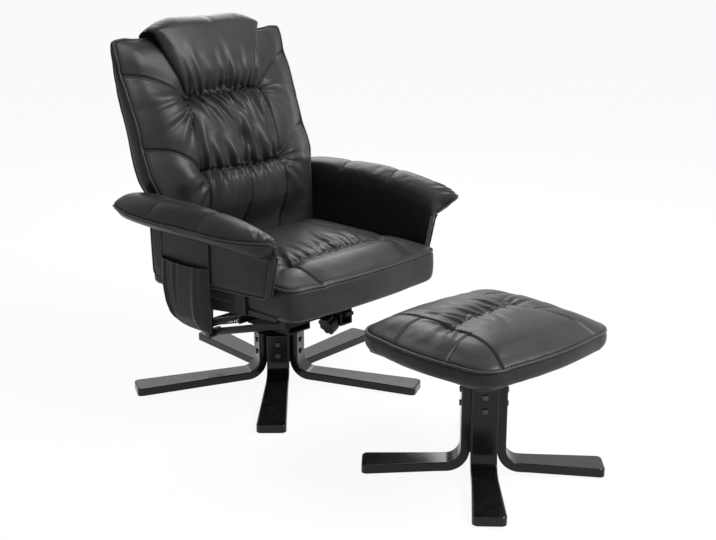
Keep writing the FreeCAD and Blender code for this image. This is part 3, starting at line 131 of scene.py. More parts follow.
def leather(name, tone, rough):
    """Grained black leather-look cover: fine pebble cells, faint creases, slightly uneven sheen."""
    mat, nodes, links, shader, place = new_material(name)
    cells = nodes.new("ShaderNodeTexVoronoi")
    cells.feature = "SMOOTH_F1"
    cells.inputs["Scale"].default_value = 520
    links.new(place, cells.inputs["Vector"])
    cloud = noise(nodes, links, place, 9, 5)
    links.new(ramp(nodes, links, cloud, *tone), shader.inputs["Base Color"])
    links.new(spread(nodes, links, noise(nodes, links, place, 60, 6), *rough), shader.inputs["Roughness"])
    first = bump(nodes, links, shader, noise(nodes, links, place, 90, 6), 0.0008, 0.3)
    bump(nodes, links, shader, cells.outputs["Distance"], 0.0004, 0.4, first)
    shader.inputs["Specular IOR Level"].default_value = 0.14
    return mat


def lacquer():
    mat, nodes, links, shader, place = new_material("black_lacquer")
    grain = noise(nodes, links, place, 40, 6, (1.0, 1.0, 6.0))
    links.new(ramp(nodes, links, grain, 0.0035, 0.008), shader.inputs["Base Color"])
    links.new(spread(nodes, links, noise(nodes, links, place, 30, 3), 0.14, 0.22), shader.inputs["Roughness"])
    bump(nodes, links, shader, grain, 0.0004, 0.06)
    shader.inputs["Specular IOR Level"].default_value = 0.28
    return mat


def plain(name, tone, metallic, rough, bump_scale, bump_strength):
    mat, nodes, links, shader, place = new_material(name)
    links.new(ramp(nodes, links, noise(nodes, links, place, 35, 5), *tone), shader.inputs["Base Color"])
    links.new(spread(nodes, links, noise(nodes, links, place, 120, 4), *rough), shader.inputs["Roughness"])
    shader.inputs["Metallic"].default_value = metallic
    shader.inputs["Specular IOR Level"].default_value = 0.2
    bump(nodes, links, shader, noise(nodes, links, place, bump_scale, 2), 0.0002, bump_strength)
    return mat


# Plywood with wave rings, coloured near black.
def near_black_ply():
    mat, nodes, links, shader, place = new_material("plywood")
    rings = nodes.new("ShaderNodeTexWave")
    rings.inputs["Scale"].default_value = 9
    rings.inputs["Distortion"].default_value = 9
    rings.inputs["Detail"].default_value = 3
    links.new(place, rings.inputs["Vector"])
    links.new(ramp(nodes, links, rings.outputs["Fac"], 0.016, 0.03), shader.inputs["Base Color"])
    links.new(spread(nodes, links, noise(nodes, links, place, 80, 4), 0.6, 0.8), shader.inputs["Roughness"])
    bump(nodes, links, shader, noise(nodes, links, place, 160, 6, (1, 8, 8)), 0.0003, 0.3)
    return mat


LEATHER = leather("black_leather", (0.019, 0.03), (0.32, 0.42))
# The piping is the same black leather as the cover; its lighter tone is a painted highlight, standing in for
# the light line along each welt.
PIPING_PAINTED_HIGHLIGHT = leather("piping_leather_painted_highlight", (0.03, 0.045), (0.3, 0.4))
LACQUER = lacquer()
BLACK_STEEL = plain("black_steel", (0.01, 0.017), 0.0, (0.35, 0.5), 1400, 0.3)
DARK_BOLTS = plain("dark_bolts", (0.05, 0.09), 1.0, (0.28, 0.42), 900, 0.1)
PLASTIC = plain("black_plastic", (0.01, 0.016), 0.0, (0.3, 0.42), 1800, 0.2)
FELT = plain("felt", (0.02, 0.05), 0.0, (0.85, 0.95), 700, 0.8)
PLYWOOD = near_black_ply()


# Meshes
def mesh_object(name, verts, faces):
    mesh = bpy.data.meshes.new(name)
    mesh.from_pydata([tuple(v) for v in verts], [], faces)
    mesh.update()
    thing = bpy.data.objects.new(name, mesh)
    scene.collection.objects.link(thing)
    return thing


def loft(name, rings):
    """Closed skin through rings with the same number of points; flat caps."""
    count = len(rings[0])
    faces = []
    for r in range(len(rings) - 1):
        for k in range(count):
            n = (k + 1) % count
            faces.append((r * count + k, r * count + n, (r + 1) * count + n, (r + 1) * count + k))
    last = (len(rings) - 1) * count
    faces.append(tuple(range(count))[::-1])
    faces.append(tuple(last + k for k in range(count)))
    return mesh_object(name, np.concatenate(rings), faces)


def apply(thing, kind, **settings):
    """Adds a modifier and applies it."""
    modifier = thing.modifiers.new("step", kind)
    for key, value in settings.items():
        setattr(modifier, key, value)
    bake(thing)


def bake(thing):
    graph = bpy.context.evaluated_depsgraph_get()
    graph.update()
    mesh = bpy.data.meshes.new_from_object(thing.evaluated_get(graph))
    thing.modifiers.clear()
    old = thing.data
    thing.data = mesh
    bpy.data.meshes.remove(old)


def sheet_grid(name, rows, columns, place):
    verts = [place(r / rows, c / columns) for r in range(rows + 1) for c in range(columns + 1)]
    wide = columns + 1
    faces = [(r * wide + c, r * wide + c + 1, (r + 1) * wide + c + 1, (r + 1) * wide + c)
             for r in range(rows) for c in range(columns)]
    return mesh_object(name, verts, faces)


def points(thing):
    out = np.empty(len(thing.data.vertices) * 3)
    thing.data.vertices.foreach_get("co", out)
    return out.reshape(-1, 3)


def normals(thing):
    out = np.empty(len(thing.data.vertices) * 3)
    thing.data.vertices.foreach_get("normal", out)
    return out.reshape(-1, 3)


def set_points(thing, co):
    thing.data.vertices.foreach_set("co", np.ascontiguousarray(co).ravel())
    thing.data.update()


CLOTH_PRESSURE, CLOTH_TENSION, CLOTH_BENDING, CLOTH_FRAMES = 4.0, 15, 0.5, 20


def puff(thing, voxel, cap, weight):
    """Remeshes a form, inflates it as cloth, and keeps each point's move under cap times its weight."""
    apply(thing, "REMESH", mode="VOXEL", voxel_size=voxel)
    apply(thing, "SMOOTH", factor=0.5, iterations=4)
    start = points(thing)
    modifier = thing.modifiers.new("cloth", "CLOTH")
    cloth = modifier.settings
    cloth.use_pressure = True
    cloth.uniform_pressure_force = CLOTH_PRESSURE
    cloth.effector_weights.gravity = 0
    cloth.tension_stiffness = CLOTH_TENSION
    cloth.bending_stiffness = CLOTH_BENDING
    modifier.point_cache.frame_start = 1
    modifier.point_cache.frame_end = CLOTH_FRAMES
    for step in range(1, CLOTH_FRAMES + 1):
        scene.frame_set(step)
    bake(thing)
    scene.frame_set(1)
    move = points(thing) - start
    length = np.linalg.norm(move, axis=1)
    limit = cap * np.clip(weight(start), 0, 1)
    set_points(thing, start + move * np.minimum(1, limit / np.maximum(length, 1e-9))[:, None])
    apply(thing, "SMOOTH", factor=0.5, iterations=3)


def refine(thing, levels):
    apply(thing, "SUBSURF", levels=levels, render_levels=levels)


def dress(thing, body, material, nodes=()):
    thing.data.materials.clear()
    thing.data.materials.append(material)
    if thing.type == "MESH":
        thing.data.polygons.foreach_set("use_smooth", [True] * len(thing.data.polygons))
    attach(thing, body)
    if nodes:
        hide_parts(*nodes)
    return thing


# Piping radii
BACK_PIPING, SEAT_PIPING, STOOL_PIPING = 0.0032, 0.0034, 0.0036
WING_PIPING, WING_LOW_PIPING, PANEL_PIPING = 0.0032, 0.0022, 0.0026
POCKET_HEM, POCKET_EDGE = 0.0028, 0.0024
PIPING_LIFT = 0.0006


def tube(name, path, radius, body, closed=False):
    """Round piping along a path of close points."""
    curve = bpy.data.curves.new(name, "CURVE")
    curve.dimensions = "3D"
    curve.bevel_depth = radius
    curve.bevel_resolution = 2
    spline = curve.splines.new("POLY")
    spline.points.add(len(path) - 1)
    spline.points.foreach_set("co", np.concatenate([path, np.ones((len(path), 1))], axis=1).ravel())
    spline.use_cyclic_u = closed
    curve.use_fill_caps = True
    thing = bpy.data.objects.new(name, curve)
    scene.collection.objects.link(thing)
    # The piping material's lighter tone is a painted highlight along the welt.
    return dress(thing, body, PIPING_PAINTED_HIGHLIGHT)


def resample(path, step=0.004):
    """The same path with even, close points."""
    gaps = np.linalg.norm(np.diff(path, axis=0), axis=1)
    along = np.concatenate([[0], np.cumsum(gaps)])
    places = np.linspace(0, along[-1], max(3, int(along[-1] / step)))
    return np.stack([np.interp(places, along, path[:, k]) for k in range(3)], axis=1)


def lay(path, thing, lift, closed=False):
    """Lays a path on a finished cover, raised a little."""
    path = np.array(path)
    path = resample(np.concatenate([path, path[:1]]) if closed else path)
    tree = BVHTree.FromObject(thing, bpy.context.evaluated_depsgraph_get())
    out = []
    for place in path:
        spot, normal, _, _ = tree.find_nearest(Vector(place))
        out.append(spot + normal * lift)
    out = np.array(out)
    for _ in range(4):
        middle = (np.roll(out, 1, axis=0) + 2 * out + np.roll(out, -1, axis=0)) / 4
        if not closed:
            middle[0], middle[-1] = out[0], out[-1]
        out = middle
    return out[:-1] if closed else out


# Sewn lines and folds, written on a flat chart of a surface (two coordinates, metres)
def bezier(a, b, c, count=24):
    t = np.linspace(0, 1, count)[:, None]
    return (1 - t) ** 2 * np.array(a) + 2 * t * (1 - t) * np.array(b) + t ** 2 * np.array(c)


def eased(place, knots):
    """Smooth curve through (place, value) knots."""
    xs, ys = np.array(knots).T
    slopes = np.gradient(ys, xs)
    k = np.clip(np.searchsorted(xs, place) - 1, 0, len(xs) - 2)
    span = xs[k + 1] - xs[k]
    t = np.clip((place - xs[k]) / span, 0, 1)
    rise = t * t * (3 - 2 * t)
    lean = span * t * (1 - t) * ((1 - t) * slopes[k] - t * slopes[k + 1])
    return ys[k] * (1 - rise) + ys[k + 1] * rise + lean


def distance_to(path, chart):
    best = np.full(len(chart), 1e9)
    path = np.array(path)
    for a, b in zip(path[:-1], path[1:]):
        span = b - a
        t = np.clip(((chart - a) @ span) / max(span @ span, 1e-12), 0, 1)
        best = np.minimum(best, np.linalg.norm(chart - (a + t[:, None] * span), axis=1))
    return best


def groove(chart, path, depth=0.005, width=0.0035, swell=0.004, reach=0.022):
    """A sewn line: a narrow valley in a broad soft dip."""
    gap = distance_to(path, chart)
    return -depth * np.exp(-(gap / width) ** 2) - swell * np.exp(-(gap / reach) ** 2)


def folds(chart, line, heading, count, length, depth, width, rng, fan=0.3, stray=0.25):
    """Folds that run out of a straight sewn line; fan turns them from one end to the other."""
    total = np.zeros(len(chart))
    start, end = np.array(line, float)
    for k in range(count):
        t = (k + 0.5 + rng.uniform(-0.3, 0.3)) / count
        angle = rng.normal(0, stray) + (t - 0.5) * fan
        turn = np.array([[math.cos(angle), -math.sin(angle)], [math.sin(angle), math.cos(angle)]])
        direction = turn @ (np.array(heading) / np.linalg.norm(heading))
        side = np.array([-direction[1], direction[0]])
        reach = length * rng.uniform(0.55, 1.25)
        relative = chart - (start + (end - start) * t)
        ahead = relative @ direction / reach
        off = relative @ side - rng.normal(0, 0.12) * reach * np.clip(ahead, 0, 1) ** 2
        thick = width * (0.7 + 1.1 * np.clip(ahead, 0, 1)) * rng.uniform(0.75, 1.3)
        fade = np.clip(1 - ahead, 0, 1) ** 1.3 * np.clip(ahead * 12 + 0.6, 0, 1) * (ahead > -0.06)
        ridge = np.exp(-(off / thick) ** 2) - 0.8 * np.exp(-((off - 1.5 * thick) / (0.7 * thick)) ** 2)
        total += depth * rng.uniform(0.6, 1.25) * fade * ridge
    return total


def crease(thing, path, depth=0.003, width=0.005):
    """Sinks a cover along a laid path, so that a welt stands in its seam."""
    co = points(thing)
    tree = KDTree(len(path))
    for k, place in enumerate(path):
        tree.insert(place, k)
    tree.balance()
    gap = np.array([tree.find(place)[2] for place in co])
    set_points(thing, co - normals(thing) * (depth * np.exp(-(gap / width) ** 2))[:, None])


def welt_on(name, path, thing, radius, body, closed=False):
    """Piping laid in a crease of a cover."""
    line = lay(path, thing, PIPING_LIFT, closed)
    crease(thing, line)
    return tube(name, line, radius, body, closed=closed)


def sew(thing, facing, low, high, height):
    """Moves points along their normals by a written height where they face a way."""
    share = np.clip((facing - low) / (high - low), 0, 1)
    set_points(thing, points(thing) + normals(thing) * (share * height)[:, None])


# Backrest
LEAN = math.radians(20.5)
BEND, WELT_Y, TOP = 0.560, 0.150, 0.452
ROOT = np.array([0, WELT_Y, BEND])
UP = np.array([0, math.sin(LEAN), math.cos(LEAN)])
FORWARD = np.array([0, -math.cos(LEAN), math.sin(LEAN)])
BACK_WIDTHS = ((-0.25, 0.2905), (-0.06, 0.2905), (-0.02, 0.289), (0.012, 0.293), (0.05, 0.306), (0.1, 0.309),
               (0.2, 0.305), (0.33, 0.312), (0.46, 0.311))
BACK_DEPTHS = ((-0.25, 0.054), (0.28, 0.05), (0.46, 0.014))
BACK_CROWNS = ((-0.25, 0.006), (-0.18, 0.006), (-0.13, 0.012), (-0.05, 0.044), (0.1, 0.05), (0.22, 0.046),
               (0.3, 0.024), (0.4, 0.016), (0.46, 0.004))


def back_frame(rise):
    """Point on the front welt line and the forward direction, with a soft bend."""
    turn = LEAN * min(1, max(0, (rise + 0.05) / 0.1))
    forward = np.array([0, -math.cos(turn), math.sin(turn)])
    point = ROOT + (UP * rise if rise > 0 else np.array([0, 0, rise]))
    if abs(rise) < 0.05:
        point = point + np.array([0, (0.05 - abs(rise)) ** 2 / 0.2 * math.sin(LEAN), 0])
    return point, forward


def back_half(rise):
    """Half width, with a small ear left at each top corner."""
    corner = 0.018
    into = np.clip((rise - (TOP - corner)) / corner, 0, 1)
    return eased(rise, BACK_WIDTHS) - corner * (1 - np.sqrt(1 - into ** 2))


def back_pad():
    rings = []
    rises = np.concatenate([np.linspace(-0.25, TOP - 0.02, 70), TOP - 0.018 * np.linspace(1, 0.02, 10) ** 2])
    for rise in rises:
        point, forward = back_frame(rise)
        half, crown, depth = back_half(rise), eased(rise, BACK_CROWNS), eased(rise, BACK_DEPTHS)
        across = np.linspace(-1, 1, 41)
        front = [(a * half, crown * (1 - abs(a) ** 3.2)) for a in across]
        right = [(half + 0.003 * math.sin(math.pi * t), -depth * t) for t in (0.25, 0.5, 0.75)]
        rear = [(-a * (half - 0.004), -depth - 0.004 * (1 - a ** 4)) for a in across]
        left = [(-half - 0.003 * math.sin(math.pi * t), -depth * t) for t in (0.75, 0.5, 0.25)]
        ring = [point + np.array([x, 0, 0]) + forward * d for x, d in front + right + rear + left]
        rings.append(np.array(ring))
    pad = loft("back_pad", rings)
    puff(pad, voxel=0.009, cap=0.012, weight=back_free)
    refine(pad, 2)
    chart = back_chart(points(pad))
    sew(pad, normals(pad) @ FORWARD, 0.25, 0.65, back_detail(chart))
    dress(pad, "backrest", LEATHER, ("back_cushion", "back_cover", "back_board"))
    for label, share in (("front", 0), ("rear", 1)):
        edge = []
        for rise in rises[rises > -0.2]:
            point, forward = back_frame(rise)
            depth = share * eased(rise, BACK_DEPTHS)
            edge.append(point + np.array([back_half(rise), 0, 0]) - forward * depth)
        both = edge + [point * np.array([-1, 1, 1]) for point in edge[::-1]]
        welt_on(f"back_{label}_piping", both, pad, BACK_PIPING, "backrest")


def back_chart(co):
    """x, and the rise along the back from its bend."""
    low = co[:, 2] - BEND
    high = (co - ROOT) @ UP
    share = np.clip((low + 0.03) / 0.06, 0, 1)
    return np.stack([co[:, 0], low * (1 - share) + high * share], axis=1)


def back_free(co):
    """How freely the cover may swell: not at the welts, nor where the arms and the seat are."""
    chart = back_chart(co)
    edge = back_half(chart[:, 1]) - np.abs(chart[:, 0])
    return np.clip(edge / 0.05, 0, 1) * np.clip((co[:, 2] - 0.43) / 0.08, 0, 1)


def back_detail(chart):
    """Two gathered cross seams, curved seams out to the welts, and the folds they draw."""
    rng = np.random.default_rng(11)
    upper, lower = 0.266, 0.046
    deep = (0.010, 0.005, 0.014, 0.028)
    out = groove(chart, bezier((-0.140, upper), (0.0, upper - 0.010), (0.130, upper + 0.004)), *deep)
    out += groove(chart, bezier((-0.152, lower + 0.004), (0.0, lower - 0.014), (0.138, lower)), *deep)
    for path in (bezier((-0.140, upper), (-0.166, 0.165), (-0.152, lower)),
                 bezier((0.130, upper), (0.148, 0.16), (0.138, lower)),
                 bezier((-0.140, upper), (-0.205, 0.325), (-0.312, 0.35)),
                 bezier((0.130, upper), (0.21, 0.33), (0.312, 0.368)),
                 bezier((-0.152, lower), (-0.215, 0.125), (-0.312, 0.139)),
                 bezier((0.138, lower), (0.21, 0.12), (0.31, 0.145)),
                 bezier((-0.152, lower), (-0.152, -0.06), (-0.168, -0.2)),
                 bezier((0.138, lower), (0.142, -0.07), (0.155, -0.2)),
                 bezier((0.004, lower - 0.006), (-0.006, -0.07), (-0.006, -0.2))):
        out += groove(chart, path, 0.006, 0.0038, 0.006, 0.026)
    for x, rise in ((-0.142, upper), (0.132, upper), (-0.154, lower), (0.14, lower)):
        side = math.copysign(1, x)
        line = ((x + side * 0.004, rise - 0.045), (x + side * 0.004, rise + 0.01))
        spokes = folds(chart, line, (side * 0.92, -0.38), 4, 0.17, 0.0065, 0.012, rng, side * 0.9, 0.2)
        out += np.where(chart[:, 0] * side > abs(x), spokes, 0)
    left, right = -0.15, 0.138
    middle = (chart[:, 0] > left - 0.006) & (chart[:, 0] < right + 0.006)
    rise = chart[:, 1]
    high_seam, low_seam = ((left, upper), (right, upper)), ((left, lower), (right, lower))
    long_folds = folds(chart, high_seam, (0.2, -1), 9, 0.22, 0.014, 0.0115, rng, -0.8, 0.14)
    long_folds += folds(chart, high_seam, (0.1, -1), 13, 0.07, 0.006, 0.0065, rng)
    long_folds += folds(chart, low_seam, (-0.1, 1), 7, 0.18, 0.0125, 0.011, rng, -0.3, 0.18)
    long_folds += folds(chart, low_seam, (0, 1), 13, 0.05, 0.005, 0.0065, rng)
    out += np.where(middle & (rise > lower - 0.006) & (rise < upper + 0.004), long_folds, 0)
    short = folds(chart, low_seam, (0, -1), 13, 0.12, 0.0085, 0.009, rng, 0.4, 0.15)
    return out + np.where(middle & (rise < lower + 0.004), short, 0)


def pillow():
    """Head pillow: a thin puffed pad that rolls over the top of the back, its ends flush with that top."""
    foot, shoulder, radius = 0.262, 0.455, 0.025
    underside, flush = 0.012, 0.004
    straight, arc = shoulder - foot, math.pi * radius
    total = straight + arc + 0.045
    halves = ((0, 0.136), (0.09, 0.167), (0.16, 0.190), (0.215, 0.211), (0.26, 0.213), (total, 0.205))
    fronts = ((0, 0.004), (0.035, 0.024), (0.09, 0.032), (0.17, 0.025), (0.24, 0.014), (total, 0.006))
    rings = []
    for length in np.linspace(0, total, 60):
        turn = np.clip((length - straight) / radius, 0, math.pi)
        over = max(0, length - straight - arc)
        rise = min(foot + length, shoulder) + radius * math.sin(turn) - over
        lift = 0.019 + 0.008 * min(1, length / 0.05) - radius * (1 - math.cos(turn))
        base = ROOT + UP * rise + FORWARD * lift
        outward = FORWARD * math.cos(turn) + UP * math.sin(turn)
        half, thick = eased(length, halves), eased(length, fronts)
        ring = []
        for angle in np.linspace(0, 2 * math.pi, 56, endpoint=False):
            c, s = math.cos(angle), math.sin(angle)
            depth = (thick if s > 0 else -underside) * abs(s) ** 0.85
            out = abs(c) ** 0.55
            place = base + np.array([half * math.copysign(out, c), 0, 0]) + outward * depth
            proud = max(0, (place - ROOT) @ UP - TOP - flush)
            ring.append(place - UP * proud * 0.82 * np.clip((out - 0.55) / 0.45, 0, 1) ** 1.6)
        rings.append(np.array(ring))
    pad = loft("head_pillow_cover", rings)
    puff(pad, voxel=0.006, cap=0.006, weight=lambda co: np.ones(len(co)))
    refine(pad, 1)
    co = points(pad)
    chart = np.stack([co[:, 0], (co - ROOT) @ UP], axis=1)
    rng = np.random.default_rng(5)
    detail = folds(chart, ((-0.13, foot), (0.13, foot)), (0.02, 1), 12, 0.14, 0.0085, 0.009, rng, -0.5, 0.14)
    sew(pad, normals(pad) @ FORWARD, 0.1, 0.5, detail)
    dress(pad, "backrest", LEATHER, ("head_pillow",))


# Seat and stool: an outline in plan, stacked up to a welt and domed above it
def stack(name, outline, levels):
    """Closed form from plan outlines: each level gives a height, a scale and an inset of the outline."""
    centre = outline.mean(axis=0)
    reach = outline - centre
    length = np.linalg.norm(reach, axis=1, keepdims=True)
    rings = []
    for height, scale, inset in levels:
        flat = centre + reach * scale * (1 - inset / length)
        rings.append(np.concatenate([flat, np.full((len(flat), 1), height)], axis=1))
    return loft(name, rings)


def rounded_outline(corners, radii, bows, count=28):
    """Rounded polygon with bowed sides; corners in order."""
    path = []
    total = len(corners)
    for k in range(total):
        here, before, after = (np.array(corners[(k + d) % total], float) for d in (0, -1, 1))
        start = here + (before - here) / np.linalg.norm(before - here) * radii[k]
        end = here + (after - here) / np.linalg.norm(after - here) * radii[k]
        path.append(bezier(start, here, end, count))
        stop = after + (here - after) / np.linalg.norm(here - after) * radii[(k + 1) % total]
        t = np.linspace(0, 1, count)[1:-1, None]
        run = (stop - end) / np.linalg.norm(stop - end)
        path.append(end + (stop - end) * t + np.array([run[1], -run[0]]) * bows[k] * np.sin(np.pi * t))
    return np.concatenate(path)


def dome(base, welt, crown):
    """Levels of a boxed cushion: tucked base, band, welt, dome."""
    levels = [(base, 1, 0.012), (base + 0.003, 1, 0.004), (base + 0.012, 1, 0.0)]
    levels += [((base + welt) / 2, 1, -0.003), (welt - 0.008, 1, -0.001), (welt, 1, 0.0)]
    for scale in (0.985, 0.96, 0.92, 0.86, 0.78, 0.68, 0.56, 0.42, 0.28, 0.14, 0.04):
        levels.append((welt + crown * (1 - scale ** 3.2) ** 0.8, scale, 0))
    return levels


def seat_pad():
    base, welt, crown = 0.3065, 0.398, 0.034
    outline = rounded_outline([(-0.286, -0.362), (0.286, -0.362), (0.286, 0.136), (-0.286, 0.136)],
                              [0.05, 0.05, 0.03, 0.03], [0.014, 0.0, 0.0, 0.0])
    pad = stack("seat_pad", outline, dome(base, welt, crown))
    puff(pad, voxel=0.009, cap=0.010, weight=lambda co: np.clip((co[:, 2] - 0.405) / 0.02, 0, 1))
    refine(pad, 2)
    chart = points(pad)[:, :2]
    rng = np.random.default_rng(3)
    row = -0.236
    detail = groove(chart, bezier((-0.185, row), (0, row - 0.012), (0.14, row)), 0.005, 0.004, 0.007, 0.03)
    for side, depth in ((-1, 0.005), (1, 0.001)):
        for path, share in ((((0.182, row), (0.19, -0.28), (0.18, -0.37)), 1),
                            (((0.182, row), (0.22, -0.19), (0.29, -0.155)), 1),
                            (((0.18, row), (0.16, -0.1), (0.15, 0.12)), 0.5)):
            detail += groove(chart, bezier(*[(side * x, y) for x, y in path]), depth * share)
        line = ((side * 0.188, row - 0.01), (side * 0.188, row + 0.03))
        detail += folds(chart, line, (side, -0.1), 3, 0.08, depth * 0.6, 0.010, rng)
    line = ((-0.18, row), (0.11, row))
    detail += folds(chart, line, (0.25, 1), 9, 0.17, 0.0048, 0.009, rng, -0.5, 0.15)
    detail += folds(chart, line, (0.1, 1), 13, 0.06, 0.0032, 0.006, rng)
    detail += folds(chart, line, (0, -1), 9, 0.04, 0.002, 0.008, rng)
    sew(pad, normals(pad)[:, 2], 0.3, 0.7, detail)
    dress(pad, "seat", LEATHER, ("seat_cushion",))
    path = np.concatenate([outline, np.full((len(outline), 1), welt)], axis=1)
    welt_on("seat_piping", path, pad, SEAT_PIPING, "seat", True)


SKIRT_THICK, POCKET_THICK = 0.0025, 0.003


def seat_skirt():
    """Boxing that hangs beside the seat board and falls towards the back."""
    front, length, beside, top = -0.3, 0.41, 0.287, 0.318
    low = ((front, 0.307), (-0.217, 0.303), (-0.159, 0.298), (-0.037, 0.284), (0.11, 0.274))
    for label, side in (("right", -1), ("left", 1)):
        def place(v, u):
            y = front + length * u
            return side * (beside - 0.001 * v), y, top + (eased(y, low) - top) * v

        sheet = sheet_grid(f"{label}_seat_skirt", 16, 60, place)
        apply(sheet, "SOLIDIFY", thickness=SKIRT_THICK, offset=0.0)
        dress(sheet, "seat", LEATHER)


STOOL = np.array([-0.097, -0.821])
STOOL_YAW = math.radians(-4)
STOOL_TURN = np.array([[math.cos(STOOL_YAW), -math.sin(STOOL_YAW)],
                       [math.sin(STOOL_YAW), math.cos(STOOL_YAW)]])


def stool_pad():
    base, welt, crown = 0.3195, 0.365, 0.040
    local = rounded_outline([(-0.236, -0.210), (0.236, -0.210), (0.236, 0.210), (-0.236, 0.210)],
                            [0.085] * 4, [0.012] * 4)
    outline = local @ STOOL_TURN.T + STOOL
    pad = stack("stool_pad", outline, dome(base, welt, crown))
    puff(pad, voxel=0.008, cap=0.008, weight=lambda co: np.clip((co[:, 2] - 0.372) / 0.02, 0, 1))
    refine(pad, 2)
    chart = (points(pad)[:, :2] - STOOL) @ STOOL_TURN
    rng = np.random.default_rng(9)
    left, right = (-0.135, -0.010), (0.105, 0.005)
    detail = groove(chart, bezier(left, (-0.015, 0.012), right), 0.005, 0.004, 0.007, 0.035)
    for side, end in ((-1, left), (1, right)):
        x, y = end
        faint = 0.005 if side < 0 else 0.0025
        for path, share, swell in (
                ((end, (x + side * -0.012, y + 0.1), (x + side * 0.02, 0.215)), 1, 0.001),
                ((end, (x, y - 0.1), (x + side * 0.045, -0.215)), 1, 0.0015),
                (((x, y + 0.09), (x + side * 0.06, 0.085), (side * 0.25, 0.07)), 0.7, 0.001),
                (((x, y - 0.06), (x + side * 0.05, -0.075), (side * 0.25, -0.095)), 0.7, 0.001)):
            detail += groove(chart, bezier(*path), faint * share, swell=swell)
        line = ((x + side * 0.006, y - 0.03), (x + side * 0.006, y + 0.03))
        detail += folds(chart, line, (side, 0), 4, 0.11, 0.003, 0.010, rng, side * 0.8, 0.2)
    detail += folds(chart, (left, right), (-0.1, 1), 8, 0.15, 0.005, 0.008, rng, -0.5, 0.12)
    detail += folds(chart, (left, right), (0, 1), 12, 0.05, 0.0032, 0.006, rng)
    detail += folds(chart, (left, right), (0, -1), 5, 0.11, 0.003, 0.010, rng, 0.5, 0.15)
    detail += folds(chart, (left, right), (0, -1), 8, 0.035, 0.002, 0.006, rng)
    sew(pad, normals(pad)[:, 2], 0.3, 0.7, detail)
    dress(pad, "base", LEATHER, ("stool_cushion",))
    path = np.concatenate([outline, np.full((len(outline), 1), welt)], axis=1)
    welt_on("stool_piping", path, pad, STOOL_PIPING, "base", True)


# Arms: a panel beside the seat that rolls over into a wing, in one cover
ARM_INNER, ARM_OUTER = 0.2945, 0.3225
PANEL_FRONT, PANEL_TOE, PANEL_BACK = -0.322, -0.297, 0.162
WING_FRONT, WING_PEAK, WING_BACK = -0.374, -0.025, 0.234
WING_TIP = (0.355, 0.538)
WING_EDGE = ((-0.376, 0.54), (-0.33, 0.538), (-0.24, 0.533), (-0.067, 0.533), (0.057, 0.534), (0.186, 0.541),
             (0.24, 0.549))
WING_REACH = ((-0.376, 0.356), (-0.35, 0.372), (-0.31, 0.388), (-0.24, 0.4), (-0.1, 0.404), (0.19, 0.404),
              (0.24, 0.394))
CREST, CREST_PLACE = 0.587, 0.34


def to_tip(y, value, tip):
    """A value that runs into the wing's front tip beyond the panel."""
    share = max(0, PANEL_FRONT - y) / (PANEL_FRONT - WING_FRONT)
    return value + (tip - value) * share


def wing_head(y):
    """Height at which the wing's underside meets the panel."""
    return to_tip(y, 0.487 + 0.016 * (max(y, PANEL_FRONT) - PANEL_FRONT) / 0.46, WING_TIP[1] - 0.002)


def panel_foot(y):
    """Lowest height of the arm at a place along it."""
    head = wing_head(y)
    if y < PANEL_FRONT or y > PANEL_BACK:
        return head - 0.002
    if y < PANEL_TOE:
        return head + (0.372 - head) * (y - PANEL_FRONT) / (PANEL_TOE - PANEL_FRONT)
    corner = 0.02
    into = max(0, y - PANEL_BACK + corner) / corner
    slope = 0.372 - 0.030 * (y - PANEL_TOE) / (PANEL_BACK - PANEL_TOE)
    return slope + corner * (1 - math.sqrt(1 - min(1, into) ** 2))


def arm_ring(y):
    """Section across an arm: up the inner face, over the wing, under it, down the panel."""
    front = y < WING_PEAK
    power = 2.0 if front else 5.0
    reach = (y - WING_PEAK) / ((WING_FRONT if front else WING_BACK) - WING_PEAK)
    full = max(0, 1 - min(1, reach) ** power) ** (1 / power)
    start = to_tip(y, 0.489 + 0.031 * (max(y, PANEL_FRONT) - PANEL_FRONT) / 0.554, WING_TIP[1])
    inner, flank = to_tip(y, ARM_INNER, WING_TIP[0]), to_tip(y, ARM_OUTER, WING_TIP[0])
    head = wing_head(y)
    belly = 1 + 1.6 * min(1, (y - WING_FRONT) / 0.05)
    edge, outer, foot = eased(y, WING_EDGE), eased(y, WING_REACH), panel_foot(y)
    rise = full * (CREST - start - (edge - start) * CREST_PLACE)
    ring = [(inner, foot + (start - foot) * t) for t in np.linspace(0, 0.95, 12)]
    for t in np.linspace(0, 1, 34):
        off = 1 - t / CREST_PLACE if t < CREST_PLACE else (t - CREST_PLACE) / (1 - CREST_PLACE)
        lift = (1 - off ** 2.3) ** (0.48 if t < CREST_PLACE else 0.72)
        ring.append((inner + (outer - inner) * t, start + (edge - start) * t + rise * lift))
    for t in np.linspace(0.06, 1, 12):
        ring.append((outer + (flank - outer) * t, head + (edge - head) * (1 - t) ** belly))
    ring += [(flank, head + (foot - head) * t) for t in np.linspace(0.08, 1, 12)]
    return ring + [((inner + flank) / 2, foot)]


